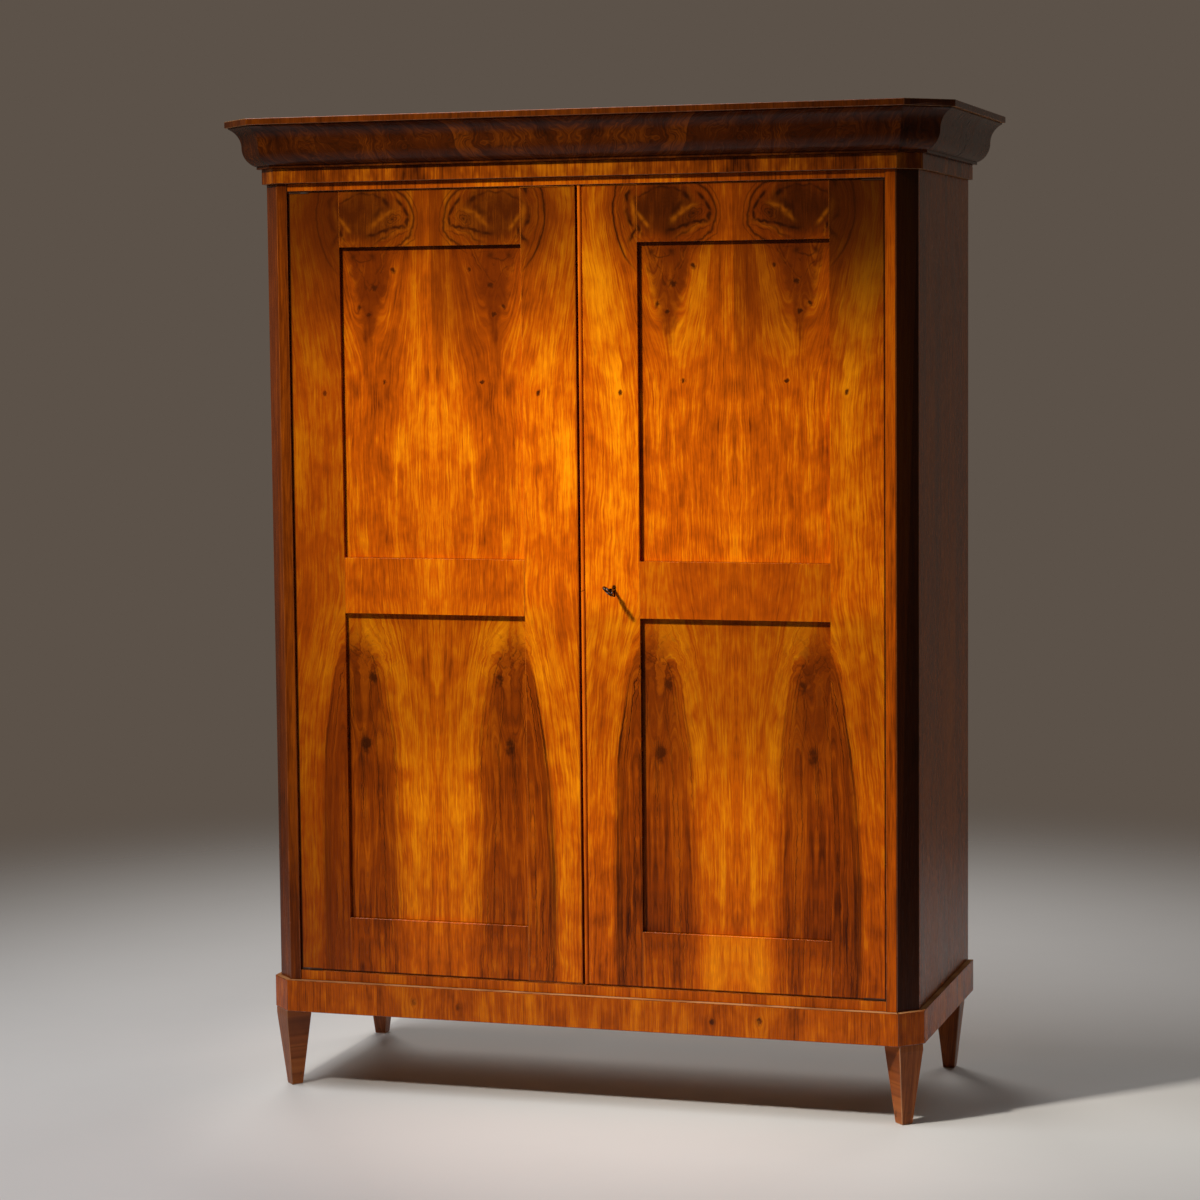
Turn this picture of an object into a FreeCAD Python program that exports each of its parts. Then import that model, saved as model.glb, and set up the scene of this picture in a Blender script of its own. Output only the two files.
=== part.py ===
"""A two-door linen cupboard with chamfered front corners, an ogee cornice and tapered legs.

Millimetres, +Z up, the front faces -Y. The origin is on the floor, in the middle of the top board's box.
Every size is a cell of the sheet, and every piece is tied to those cells.
"""
import FreeCAD, Part
import math
import os

from FreeCAD import Placement, Rotation, Vector

doc = FreeCAD.newDocument("linen_cupboard")
sheet = doc.addObject("Spreadsheet::Sheet", "sizes")

# Driving sizes, from the floor up and from the outside in.
SIZES = {
    # carcase
    "carcase_width": 1325,
    "carcase_depth": 540,
    "corner_chamfer": 36,
    "post_width": 57.5,
    "post_depth": 45,
    "side_thickness": 22,
    "board_thickness": 20,
    "board_tongue": 8,
    "side_tongue": 8,
    "back_thickness": 12,
    "back_rebate": 11,
    "back_tongue": 6,
    "threshold_height": 20,
    "head_rail_height": 16,
    "rail_setback": 3,
    "rail_tenon": 20,
    "rail_tenon_height": 8,
    "rail_tenon_margin": 3,
    "rail_tenon_setback": 9,
    "joint_clearance": 0.1,
    # legs and plinth
    "leg_height": 158,
    "leg_top_width": 54,
    "leg_foot_width": 24,
    "leg_neck_height": 12,
    "leg_tenon_width": 24,
    "leg_tenon_length": 40,
    "leg_block_gap": 1,
    "leg_block_depth": 42,
    "plinth_height": 64,
    "plinth_projection": 11,
    "plinth_thickness": 24,
    # doors
    "door_height": 1567,
    "door_thickness": 24,
    "door_setback": 6,
    "door_side_gap": 2,
    "door_end_gap": 1.5,
    "meeting_gap": 4.6,
    "meeting_offset": 4.3,
    "bead_width": 8,
    "bead_stand": 1,
    "quirk_width": 3.5,
    "quirk_depth": 3,
    "hinge_stile_width": 106,
    "panel_spacing": 236,
    "bottom_rail_width": 109.5,
    "lock_rail_width": 111,
    "top_rail_width": 110.5,
    "lower_panel_height": 617,
    "panel_recess": 10,
    "panel_thickness": 8,
    "panel_tongue": 8,
    "panel_float": 1,
    "door_tenon_length": 42,
    "door_tenon_shoulder": 15,
    "mortise_spare": 2,
    # shelves
    "shelf_thickness": 20,
    "shelf_setback": 7,
    "shelf_clearance": 0.5,
    "bearer_height": 25,
    "bearer_width": 20,
    # pivot hinges
    "pivot_inset": 18,
    "pivot_depth": 6,
    "pin_radius": 4,
    "pin_clearance": 0.05,
    "pin_reach": 6,
    "pin_bore_spare": 2,
    "pin_bore_gap": 0.5,
    "pivot_shoulder_radius": 6,
    "pivot_plate_length": 42,
    "pivot_plate_margin": 1,
    "pivot_plate_width": 14,
    "pivot_plate_thickness": 3,
    # door stops
    "stop_length": 80,
    "stop_height": 12,
    "stop_gap": 0.4,
    "stop_place": 300,
    # lock, key and keeper
    "key_place": 66,
    "key_stem_radius": 3,
    "key_stand": 40,
    "key_tilt": 42,
    "bow_width": 28,
    "bow_height": 24,
    "bow_wire": 4.6,
    "key_collar_radius": 4.6,
    "key_collar_length": 5,
    "key_collar_gap": 2,
    "key_bit_reach": 12,
    "key_bit_gap": 1,
    "key_bit_length": 5,
    "key_bit_thickness": 2.4,
    "key_end_gap": 0.5,
    "keyhole_radius": 3.8,
    "keyhole_slot_width": 4.4,
    "keyhole_slot_reach": 14,
    "drill_pin_radius": 1.5,
    "lock_length": 88,
    "lock_height": 60,
    "lock_depth": 16,
    "lock_wall": 1.5,
    "lock_margin": 2,
    "bolt_length": 50,
    "bolt_height": 14,
    "bolt_thickness": 5,
    "bolt_clearance": 0.3,
    "bolt_throw": 14,
    "keeper_spare": 18,
    "keeper_height": 30,
    "keeper_wall": 3,
    "keeper_margin": 1,
    # slide bolts of the left door
    "slide_place": 60,
    "slide_width": 10,
    "slide_thickness": 6,
    "slide_length": 150,
    "slide_inset": 1.5,
    "slide_throw": 14,
    "slide_clearance": 0.2,
    "slide_hole_spare": 0.8,
    "slide_knob_width": 8,
    "slide_knob_reach": 9,
    "guide_wall": 3,
    "guide_height": 12,
    "guide_inset": 18,
    # frieze, cornice and top board
    "frieze_height": 30,
    "frieze_projection": 9,
    "cornice_backing": 20,
    "cornice_height": 82.5,
    "cornice_fillet_height": 5.5,
    "cornice_fillet_projection": 18,
    "ogee_foot_projection": 20,
    "ogee_middle_projection": 45,
    "ogee_top_projection": 69,
    "ogee_top_fillet": 2.5,
    "top_board_thickness": 12.5,
    "top_board_projection": 76,
    "cornice_rail_thickness": 24,
}
BACK_BOARDS = 6
SHELVES = 3

for row, (name, number) in enumerate(SIZES.items(), start=1):
    sheet.set(f"A{row}", name)
    sheet.set(f"B{row}", str(number))
    sheet.setAlias(f"B{row}", name)
doc.recompute()


class Length:
    """A length written as an expression on the sheet, so that sums of lengths stay tied to its cells."""

    def __init__(self, text):
        self.text = str(text)

    def __add__(self, other):
        return Length(f"({self.text} + {text_of(other)})")

    def __radd__(self, other):
        return Length(f"({text_of(other)} + {self.text})")

    def __sub__(self, other):
        return Length(f"({self.text} - {text_of(other)})")

    def __rsub__(self, other):
        return Length(f"({text_of(other)} - {self.text})")

    def __mul__(self, factor):
        return Length(f"({self.text} * {text_of(factor)})")

    __rmul__ = __mul__

    def __truediv__(self, divisor):
        return Length(f"({self.text} / {text_of(divisor)})")

    def __neg__(self):
        return Length(f"(0 - {self.text})")


def text_of(length):
    return length.text if isinstance(length, Length) else f"({length})"


def value(length):
    """The length as a number, for the few shapes that are drawn point by point."""
    return float(sheet.evalExpression(text_of(length)))


size = {name: Length(f"sizes.{name}") for name in SIZES}
pieces = []


def tie(thing, **lengths):
    for name, length in lengths.items():
        thing.setExpression(name, text_of(length))


def put(thing, x, y, z, rotation=None):
    if rotation is not None:
        thing.Placement = Placement(Vector(), rotation)
    for axis, length in zip("xyz", (x, y, z)):
        thing.setExpression(f"Placement.Base.{axis}", text_of(length))


def piece(thing, name):
    """Marks a finished sub-part, whose label is the name that it is saved under."""
    thing.Label = name
    pieces.append(thing)
    return thing


def box(name, x, y, z):
    """A box from three pairs of low and high faces."""
    solid = doc.addObject("Part::Box", name)
    tie(solid, Length=x[1] - x[0], Width=y[1] - y[0], Height=z[1] - z[0])
    put(solid, x[0], y[0], z[0])
    return solid


def turned_box(name, across, deep, z, x, y, turn):
    """A box turned about the vertical at (x, y): across runs along its face, deep runs inwards."""
    solid = doc.addObject("Part::Box", name)
    tie(solid, Length=across[1] - across[0], Width=deep[1] - deep[0], Height=z[1] - z[0])
    c = math.cos(math.radians(turn))
    s = math.sin(math.radians(turn))
    put(solid, x + across[0] * c - deep[0] * s, y + across[0] * s + deep[0] * c, z[0],
        Rotation(Vector(0, 0, 1), turn))
    return solid


def upright(name, radius, x, y, z):
    solid = doc.addObject("Part::Cylinder", name)
    tie(solid, Radius=radius, Height=z[1] - z[0])
    put(solid, x, y, z[0])
    return solid


def along_depth(name, radius, x, y, z):
    """A cylinder whose axis runs from front to back."""
    solid = doc.addObject("Part::Cylinder", name)
    tie(solid, Radius=radius, Height=y[1] - y[0])
    put(solid, x, y[0], z, Rotation(Vector(1, 0, 0), -90))
    return solid


def cut(name, base, *tools):
    tool = tools[0]
    if len(tools) > 1:
        tool = doc.addObject("Part::Compound", f"{name}_cuts")
        tool.Links = list(tools)
    result = doc.addObject("Part::Cut", name)
    result.Base = base
    result.Tool = tool
    return result


def fuse(name, *shapes):
    result = doc.addObject("Part::MultiFuse", name)
    result.Shapes = list(shapes)
    result.Refine = True
    return result


def group(name, *solids):
    result = doc.addObject("Part::Compound", name)
    result.Links = list(solids)
    return result


def grown(span, amount):
    return (span[0] - amount, span[1] + amount)


def sided(side, low, high):
    """A span given as distances from the middle, on the right (1) or mirrored to the left (-1)."""
    return (low, high) if side > 0 else (-high, -low)


def into(edge, way, depth):
    """A span that goes from an edge into the wood, outwards (1) or inwards (-1)."""
    return (edge, edge + depth) if way > 0 else (edge - depth, edge)


# Levels, from the floor up.
plinth_bottom = size["leg_height"]
plinth_top = plinth_bottom + size["plinth_height"]
door_floor = plinth_top + size["threshold_height"]
door_ceiling = door_floor + size["door_height"]
frieze_bottom = door_ceiling + size["head_rail_height"]
frieze_top = frieze_bottom + size["frieze_height"]
cornice_top = frieze_top + size["cornice_height"]
top_of_all = cornice_top + size["top_board_thickness"]

# Planes, from front to back and from the middle outwards.
front = (size["top_board_projection"] - size["carcase_depth"]) / 2
back = front + size["carcase_depth"]
half = size["carcase_width"] / 2
post_back = front + size["post_depth"]
rail_front = front + size["rail_setback"]
back_board_front = back - size["back_thickness"]
post_inner = half - size["post_width"]
side_inner = half - size["side_thickness"]

# A moulding that stands out by p moves the chamfer's ends along the faces by p times this slope.
MITRE = math.tan(math.radians(22.5))


def chamfer_at(projection):
    """The chamfer's leg on a plane that stands out from the carcase."""
    return size["corner_chamfer"] + projection * (2 * MITRE / (1 + MITRE))


def corner_middle(side, projection):
    """The middle of the chamfered face, in plan, on a plane that stands out from the carcase."""
    reach = projection - chamfer_at(projection) / 2
    return (half + reach) * side, front - reach


def mitred_board(name, turn, x, y, start, end, mitres, thickness, z):
    """A board seen in plan as a trapezium: its outer face runs from start to end along the turned X axis
    at (x, y), and each end that is marked in mitres is cut back at half the corner's angle."""
    board = doc.addObject("Part::Wedge", name)
    slope = thickness * MITRE
    tie(board, Xmin=start, Xmax=end, Ymin=0, Ymax=thickness, Zmin=z[0], Zmax=z[1], Z2min=z[0], Z2max=z[1],
        X2min=start + slope * mitres[0], X2max=end - slope * mitres[1])
    put(board, x, y, 0, Rotation(Vector(0, 0, 1), turn))
    return board


def ring_runs(projection):
    """The front, sides and chamfered corners of a plane that stands out from the carcase, each as its
    name, its turn, its place in plan, where its face starts and ends, and which of its ends are mitred."""
    chamfer = chamfer_at(projection)
    face = front - projection
    side_face = half + projection
    corner_half = chamfer * math.sqrt(0.5)
    yield "front", 0, 0, face, chamfer - side_face, side_face - chamfer, (1, 1)
    yield "right", 90, side_face, 0, face + chamfer, back, (1, 0)
    yield "left", -90, -side_face, 0, -back, -(face + chamfer), (0, 1)
    yield "left_corner", -45, *corner_middle(-1, projection), -corner_half, corner_half, (1, 1)
    yield "right_corner", 45, *corner_middle(1, projection), -corner_half, corner_half, (1, 1)


def ring_pieces(prefix, boards):
    """Names a ring's front and sides as pieces, and its two corners as one group."""
    for run in ("front", "left", "right"):
        piece(boards[run], f"{prefix}_{run}")
    corners = group(f"{prefix}_corner_group", boards["left_corner"], boards["right_corner"])
    piece(corners, f"{prefix}_corners")


def board_ring(prefix, projection, thickness, z):
    """A ring of plain boards, mitred at the chamfered corners."""
    boards = {}
    for run, turn, x, y, start, end, mitres in ring_runs(projection):
        boards[run] = mitred_board(f"{prefix}_{run}_board", turn, x, y, start, end, mitres, thickness, z)
    ring_pieces(prefix, boards)


# Legs: a square neck, a straight taper to the foot and a tenon that goes up into a block.
# The front legs stand on the chamfered corners, turned to follow them.
leg_blocks = []
tenon_half = size["leg_tenon_width"] / 2
leg_half = size["leg_top_width"] / 2
foot_half = size["leg_foot_width"] / 2
plinth_inner = half + size["plinth_projection"] - size["plinth_thickness"]
corner_width = chamfer_at(size["plinth_projection"]) * math.sqrt(2) - size["plinth_thickness"] * (2 * MITRE)
block_half = corner_width / 2 - size["leg_block_gap"]
neck = (plinth_bottom - size["leg_neck_height"], plinth_bottom)
tenon_z = (plinth_bottom, plinth_bottom + size["leg_tenon_length"])
mortise_z = (plinth_bottom, tenon_z[1] + size["mortise_spare"])
block_z = (plinth_bottom, plinth_top)
block_deep = (size["plinth_thickness"], size["plinth_thickness"] + size["leg_block_depth"])
tenon_middle = (size["plinth_thickness"] + size["leg_top_width"]) / 2
for row_name in ("front", "rear"):
    for side, hand in ((-1, "left"), (1, "right")):
        name = f"{row_name}_{hand}_leg"
        if row_name == "front":
            x, y = corner_middle(side, size["plinth_projection"])
            turn = 45 * side
        else:
            x = (plinth_inner - size["leg_block_gap"] - block_half) * side
            y = back
            turn = 180
        across = (-leg_half, leg_half)
        deep = (0, leg_half * 2)
        neck_block = turned_box(f"{name}_neck", across, deep, neck, x, y, turn)
        taper = doc.addObject("Part::Wedge", f"{name}_taper")
        tie(taper, Xmin=-foot_half, Xmax=foot_half, Zmin=-foot_half, Zmax=foot_half, Ymin=0, Ymax=neck[0],
            X2min=-leg_half, X2max=leg_half, Z2min=-leg_half, Z2max=leg_half)
        c = math.cos(math.radians(turn))
        s = math.sin(math.radians(turn))
        put(taper, x - leg_half * s, y + leg_half * c, 0,
            Rotation(Vector(0, 0, 1), turn).multiply(Rotation(Vector(1, 0, 0), 90)))
        tenon_across = (-tenon_half, tenon_half)
        tenon_deep = (tenon_middle - tenon_half, tenon_middle + tenon_half)
        tenon = turned_box(f"{name}_tenon", tenon_across, tenon_deep, tenon_z, x, y, turn)
        piece(fuse(f"{name}_solid", neck_block, taper, tenon), name)
        block = turned_box(f"{name}_block_blank", (-block_half, block_half), block_deep, block_z, x, y, turn)
        mortise = turned_box(f"{name}_mortise", grown(tenon_across, size["joint_clearance"]),
                             grown(tenon_deep, size["joint_clearance"]), mortise_z, x, y, turn)
        leg_blocks.append(cut(f"{name}_block", block, mortise))
piece(group("leg_block_group", *leg_blocks), "leg_blocks")

# Plinth: mitred boards round the front and sides, and a back board between the side boards.
board_ring("plinth", size["plinth_projection"], size["plinth_thickness"], block_z)
plinth_back_y = (back - size["plinth_thickness"], back)
piece(box("plinth_back_board", (-plinth_inner, plinth_inner), plinth_back_y, block_z), "plinth_back")

# Carcase: chamfered front posts, sides tongued into them, and boards housed between the sides.
# The threshold and head rails are tenoned between the posts, above and below the doors.
carcase_z = (plinth_top, frieze_bottom)
threshold_z = (plinth_top, door_floor)
head_z = (door_ceiling, frieze_bottom)
rail_y = (rail_front, post_back)
bottom_board_z = (plinth_top, plinth_top + size["board_thickness"])
top_board_z = (frieze_bottom - size["board_thickness"], frieze_bottom)
third = size["board_thickness"] / 3
tongue_y = (post_back - size["side_tongue"], post_back)
side_third = size["side_thickness"] / 3


def rail_tenon_z(rail_z, outer):
    """A rail's tenon, as far from the pivot plates as the rail allows."""
    margin = size["rail_tenon_margin"]
    if outer == "low":
        return (rail_z[0] + margin, rail_z[0] + margin + size["rail_tenon_height"])
    return (rail_z[1] - margin - size["rail_tenon_height"], rail_z[1] - margin)


rail_tenons = {"threshold": rail_tenon_z(threshold_z, "low"), "head": rail_tenon_z(head_z, "high")}
rail_tenon_y = (rail_front + size["rail_tenon_setback"], post_back - size["rail_tenon_setback"])
for side, hand in ((-1, "left"), (1, "right")):
    post = box(f"{hand}_post_blank", sided(side, post_inner, half), (front, post_back), carcase_z)
    x, y = corner_middle(side, 0)
    reach = size["corner_chamfer"]
    chamfer = turned_box(f"{hand}_post_chamfer", (-reach, reach), (-reach, 0), carcase_z, x, y, 45 * side)
    tongue_x = sided(side, side_inner + side_third, half - side_third)
    groove_y = (tongue_y[0] - size["joint_clearance"], tongue_y[1])
    groove = box(f"{hand}_post_groove", tongue_x, groove_y, carcase_z)
    mortises = []
    for rail, tenon_z in rail_tenons.items():
        mortises.append(box(f"{hand}_post_{rail}_mortise",
                            sided(side, post_inner, post_inner + size["rail_tenon"] + size["mortise_spare"]),
                            grown(rail_tenon_y, size["joint_clearance"]),
                            grown(tenon_z, size["joint_clearance"])))
    piece(cut(f"{hand}_post_solid", post, chamfer, groove, *mortises), f"{hand}_front_post")

    panel = box(f"{hand}_side_blank", sided(side, side_inner, half), (post_back, back), carcase_z)
    tongue = box(f"{hand}_side_tongue", tongue_x, tongue_y, carcase_z)
    whole = fuse(f"{hand}_side_tongued", panel, tongue)
    rebate = box(f"{hand}_side_rebate", sided(side, side_inner, side_inner + size["back_rebate"]),
                 (back_board_front, back), carcase_z)
    housings = []
    for level, board_z in (("bottom", bottom_board_z), ("top", top_board_z)):
        housing_x = sided(side, side_inner, side_inner + size["board_tongue"] + size["joint_clearance"])
        housing_z = grown(board_z, -third)
        housings.append(box(f"{hand}_side_{level}_housing", housing_x, (post_back, back_board_front),
                            housing_z))
    piece(cut(f"{hand}_side_solid", whole, rebate, *housings), f"{hand}_side")

for level, board_z in (("bottom", bottom_board_z), ("top", top_board_z)):
    depth = (post_back, back_board_front)
    board = box(f"{level}_board_blank", (-side_inner, side_inner), depth, board_z)
    tongue_reach = side_inner + size["board_tongue"]
    tongue = box(f"{level}_board_tongue", (-tongue_reach, tongue_reach), depth, grown(board_z, -third))
    piece(fuse(f"{level}_board_solid", board, tongue), f"{level}_board")

# Back: upright boards in the rebates of the sides, each with a tongue in the groove of the next.
back_half = side_inner + size["back_rebate"]
back_width = back_half * 2 / BACK_BOARDS
back_third = size["back_thickness"] / 3
groove_y = (back_board_front + back_third, back - back_third)
back_boards = []
for index in range(BACK_BOARDS):
    left = back_width * index - back_half
    right = left + back_width
    board = box(f"back_board_{index}_blank", (left, right), (back_board_front, back), carcase_z)
    if index < BACK_BOARDS - 1:
        tongue = box(f"back_board_{index}_tongue", (right, right + size["back_tongue"]), groove_y, carcase_z)
        board = fuse(f"back_board_{index}_tongued", board, tongue)
    if index > 0:
        groove = box(f"back_board_{index}_groove",
                     (left, left + size["back_tongue"] + size["joint_clearance"]), groove_y, carcase_z)
        board = cut(f"back_board_{index}_grooved", board, groove)
    back_boards.append(board)
piece(group("back_board_group", *back_boards), "back_boards")

# Shelves: full-width boards on bearers that are fixed to the sides, in equal compartments.
shelf_y = (post_back + size["shelf_setback"], back_board_front - size["shelf_clearance"])
shelf_half = side_inner - size["shelf_clearance"]
inside = top_board_z[0] - bottom_board_z[1]
bearers = []
for index in range(1, SHELVES + 1):
    top = bottom_board_z[1] + (inside + size["shelf_thickness"]) * index / (SHELVES + 1)
    bottom = top - size["shelf_thickness"]
    piece(box(f"shelf_{index}_board", (-shelf_half, shelf_half), shelf_y, (bottom, top)), f"shelf_{index}")
    for side, hand in ((-1, "left"), (1, "right")):
        bearer_x = sided(side, side_inner - size["bearer_width"], side_inner)
        bearers.append(box(f"shelf_{index}_{hand}_bearer", bearer_x, (post_back, back_board_front),
                           (bottom - size["bearer_height"], bottom)))
piece(group("shelf_bearer_group", *bearers), "shelf_bearers")

# Doors: stiles and rails joined with mortises and tenons, and panels that sit in grooves.
# The right door carries a rounded bead on its meeting edge, with a quirk beside it.
door_front = front + size["door_setback"]
door_back = door_front + size["door_thickness"]
door_y = (door_front, door_back)
door_z = (door_floor + size["door_end_gap"], door_ceiling - size["door_end_gap"])
hinge_edge = post_inner - size["door_side_gap"]
panel_outer = hinge_edge - size["hinge_stile_width"]
panel_inner = size["panel_spacing"] / 2
bead_edge = size["meeting_gap"] / 2 - size["meeting_offset"]
meeting_edge = {-1: size["meeting_gap"] / 2 + size["meeting_offset"], 1: bead_edge + size["bead_width"]}
panel_front = door_front + size["panel_recess"]
panel_y = (panel_front, panel_front + size["panel_thickness"])
lower_z = (door_z[0] + size["bottom_rail_width"],
           door_z[0] + size["bottom_rail_width"] + size["lower_panel_height"])
upper_z = (lower_z[1] + size["lock_rail_width"], door_z[1] - size["top_rail_width"])
rail_levels = {"bottom_rail": (door_z[0], lower_z[0]), "lock_rail": (lower_z[1], upper_z[0]),
               "top_rail": (upper_z[1], door_z[1])}
panel_levels = {"lower_panel": lower_z, "upper_panel": upper_z}
groove_reach = size["panel_tongue"] + size["panel_float"]

# Pivots: the pin stands near the hinge edge, a little behind the door's face.
pivot_x = hinge_edge - size["pivot_inset"]
pivot_y = door_front + size["pivot_depth"]
plate_x = (hinge_edge - size["pivot_plate_margin"] - size["pivot_plate_length"],
           hinge_edge - size["pivot_plate_margin"])
plate_y = (pivot_y - size["pivot_plate_width"] / 2, pivot_y + size["pivot_plate_width"] / 2)
plate = size["pivot_plate_thickness"]
carcase_plate_z = {"bottom": (door_floor - plate, door_floor), "top": (door_ceiling, door_ceiling + plate)}
door_plate_z = {"bottom": (door_z[0], door_z[0] + plate), "top": (door_z[1] - plate, door_z[1])}
pin_z = {"bottom": (door_floor, door_z[0] + size["pin_reach"]),
         "top": (door_z[1] - size["pin_reach"], door_ceiling)}
shoulder_z = {"bottom": (door_floor, door_z[0]), "top": (door_z[1], door_ceiling)}
bore_z = {"bottom": (door_z[0], pin_z["bottom"][1] + size["pin_bore_spare"]),
          "top": (pin_z["top"][0] - size["pin_bore_spare"], door_z[1])}

# Lock level: the keyhole is half way up the lock rail, in the right door's meeting stile.
lock_z = (lower_z[1] + upper_z[0]) / 2
key_x = size["key_place"]

for side, hand in ((-1, "left"), (1, "right")):
    stile_spans = {"hinge_stile": (panel_outer, hinge_edge),
                   "meeting_stile": (meeting_edge[side], panel_inner)}
    # The panel's edge of each stile, and which way the stile's wood lies from it.
    stile_faces = {"hinge_stile": (panel_outer, 1), "meeting_stile": (panel_inner, -1)}
    for stile, span in stile_spans.items():
        name = f"{hand}_{stile}"
        edge, way = stile_faces[stile]
        blank = box(f"{name}_blank", sided(side, *span), door_y, door_z)
        cuts = []
        for panel, panel_z in panel_levels.items():
            groove = into(edge, way, groove_reach)
            cuts.append(box(f"{name}_{panel}_groove", sided(side, *groove), panel_y,
                            grown(panel_z, groove_reach)))
        mortise = into(edge, way, size["door_tenon_length"] + size["mortise_spare"])
        for rail, rail_z in rail_levels.items():
            tenon_z = grown(rail_z, size["joint_clearance"] - size["door_tenon_shoulder"])
            cuts.append(box(f"{name}_{rail}_mortise", sided(side, *mortise),
                            grown(panel_y, size["joint_clearance"]), tenon_z))
        if stile == "hinge_stile":
            for end in ("bottom", "top"):
                cuts.append(box(f"{name}_{end}_plate_seat", sided(side, *plate_x), plate_y,
                                door_plate_z[end]))
                cuts.append(upright(f"{name}_{end}_bore", size["pin_radius"] + size["pin_bore_gap"],
                                    pivot_x * side, pivot_y, bore_z[end]))
        elif side > 0:
            cuts.append(box(f"{name}_quirk", (span[0], span[0] + size["quirk_width"]),
                            (door_front, door_front + size["quirk_depth"]), door_z))
            cuts.append(along_depth(f"{name}_keyhole", size["keyhole_radius"], key_x, door_y, lock_z))
            slot_half = size["keyhole_slot_width"] / 2
            cuts.append(box(f"{name}_keyhole_slot", (key_x - slot_half, key_x + slot_half), door_y,
                            (lock_z - size["keyhole_slot_reach"], lock_z)))
        piece(cut(f"{name}_solid", blank, *cuts), name)

    for rail, rail_z in rail_levels.items():
        name = f"{hand}_{rail}"
        blank = box(f"{name}_blank", sided(side, panel_inner, panel_outer), door_y, rail_z)
        tenon_length = size["door_tenon_length"]
        tenon_x = sided(side, panel_inner - tenon_length, panel_outer + tenon_length)
        tenon = box(f"{name}_tenon", tenon_x, panel_y, grown(rail_z, -size["door_tenon_shoulder"]))
        whole = fuse(f"{name}_tenoned", blank, tenon)
        grooves = []
        if rail != "bottom_rail":
            grooves.append(box(f"{name}_lower_groove", sided(side, panel_inner, panel_outer), panel_y,
                               (rail_z[0], rail_z[0] + groove_reach)))
        if rail != "top_rail":
            grooves.append(box(f"{name}_upper_groove", sided(side, panel_inner, panel_outer), panel_y,
                               (rail_z[1] - groove_reach, rail_z[1])))
        piece(cut(f"{name}_solid", whole, *grooves), name)

    for panel, panel_z in panel_levels.items():
        tongue = size["panel_tongue"]
        piece(box(f"{hand}_{panel}_board", sided(side, panel_inner - tongue, panel_outer + tongue), panel_y,
                  grown(panel_z, tongue)), f"{hand}_{panel}")

    sockets = []
    for end in ("bottom", "top"):
        name = f"{hand}_{end}_socket"
        blank = box(f"{name}_plate", sided(side, *plate_x), plate_y, door_plate_z[end])
        hole = upright(f"{name}_hole", size["pin_radius"] + size["pin_clearance"], pivot_x * side, pivot_y,
                       door_plate_z[end])
        sockets.append(cut(name, blank, hole))
    piece(group(f"{hand}_socket_group", *sockets), f"{hand}_pivot_sockets")

bead_radius = size["bead_width"] / 2
nose_y = door_front - size["bead_stand"] + bead_radius
bead_strip = box("bead_strip", (bead_edge, bead_edge + size["bead_width"]), (nose_y, door_back), door_z)
bead_nose = upright("bead_nose", bead_radius, bead_edge + bead_radius, nose_y, door_z)
piece(fuse("bead_solid", bead_strip, bead_nose), "meeting_bead")

# Slide bolts on the back of the left door: flat bars in staples, one at each end of the meeting stile.
slide_x = (-size["slide_place"] - size["slide_width"] / 2, -size["slide_place"] + size["slide_width"] / 2)
slide_y = (door_back + size["slide_clearance"], door_back + size["slide_clearance"] + size["slide_thickness"])
knob_half = size["slide_knob_width"] / 2
guides = []
slide_holes = {}
for end, way in (("bottom", 1), ("top", -1)):
    tip = door_z[0] + size["slide_inset"] if way > 0 else door_z[1] - size["slide_inset"]
    bar = box(f"{end}_bolt_bar", slide_x, slide_y, into(tip, way, size["slide_length"]))
    knob_middle = tip + size["slide_length"] / 2 * way
    knob = box(f"{end}_bolt_knob", (-size["slide_place"] - knob_half, -size["slide_place"] + knob_half),
               (slide_y[1], slide_y[1] + size["slide_knob_reach"]),
               (knob_middle - knob_half, knob_middle + knob_half))
    piece(fuse(f"{end}_bolt_solid", bar, knob), f"{end}_bolt")
    for place, inset in (("near", size["guide_inset"]),
                         ("far", size["slide_length"] - size["guide_inset"] - size["guide_height"])):
        z = into(tip + inset * way, way, size["guide_height"])
        wall = size["slide_clearance"] + size["guide_wall"]
        staple = box(f"{end}_{place}_staple", grown(slide_x, wall), (door_back, slide_y[1] + wall), z)
        way_through = box(f"{end}_{place}_staple_gap", grown(slide_x, size["slide_clearance"]),
                          (door_back, slide_y[1] + size["slide_clearance"]), z)
        guides.append(cut(f"{end}_{place}_guide", staple, way_through))
    hole_reach = size["slide_throw"] + size["slide_hole_spare"] - size["slide_inset"] - size["door_end_gap"]
    face = door_floor if way > 0 else door_ceiling
    slide_holes[end] = box(f"{end}_bolt_hole", grown(slide_x, size["slide_hole_spare"]),
                           grown(slide_y, size["slide_hole_spare"]), into(face, -way, hole_reach))
piece(group("bolt_guide_group", *guides), "bolt_guides")

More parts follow.
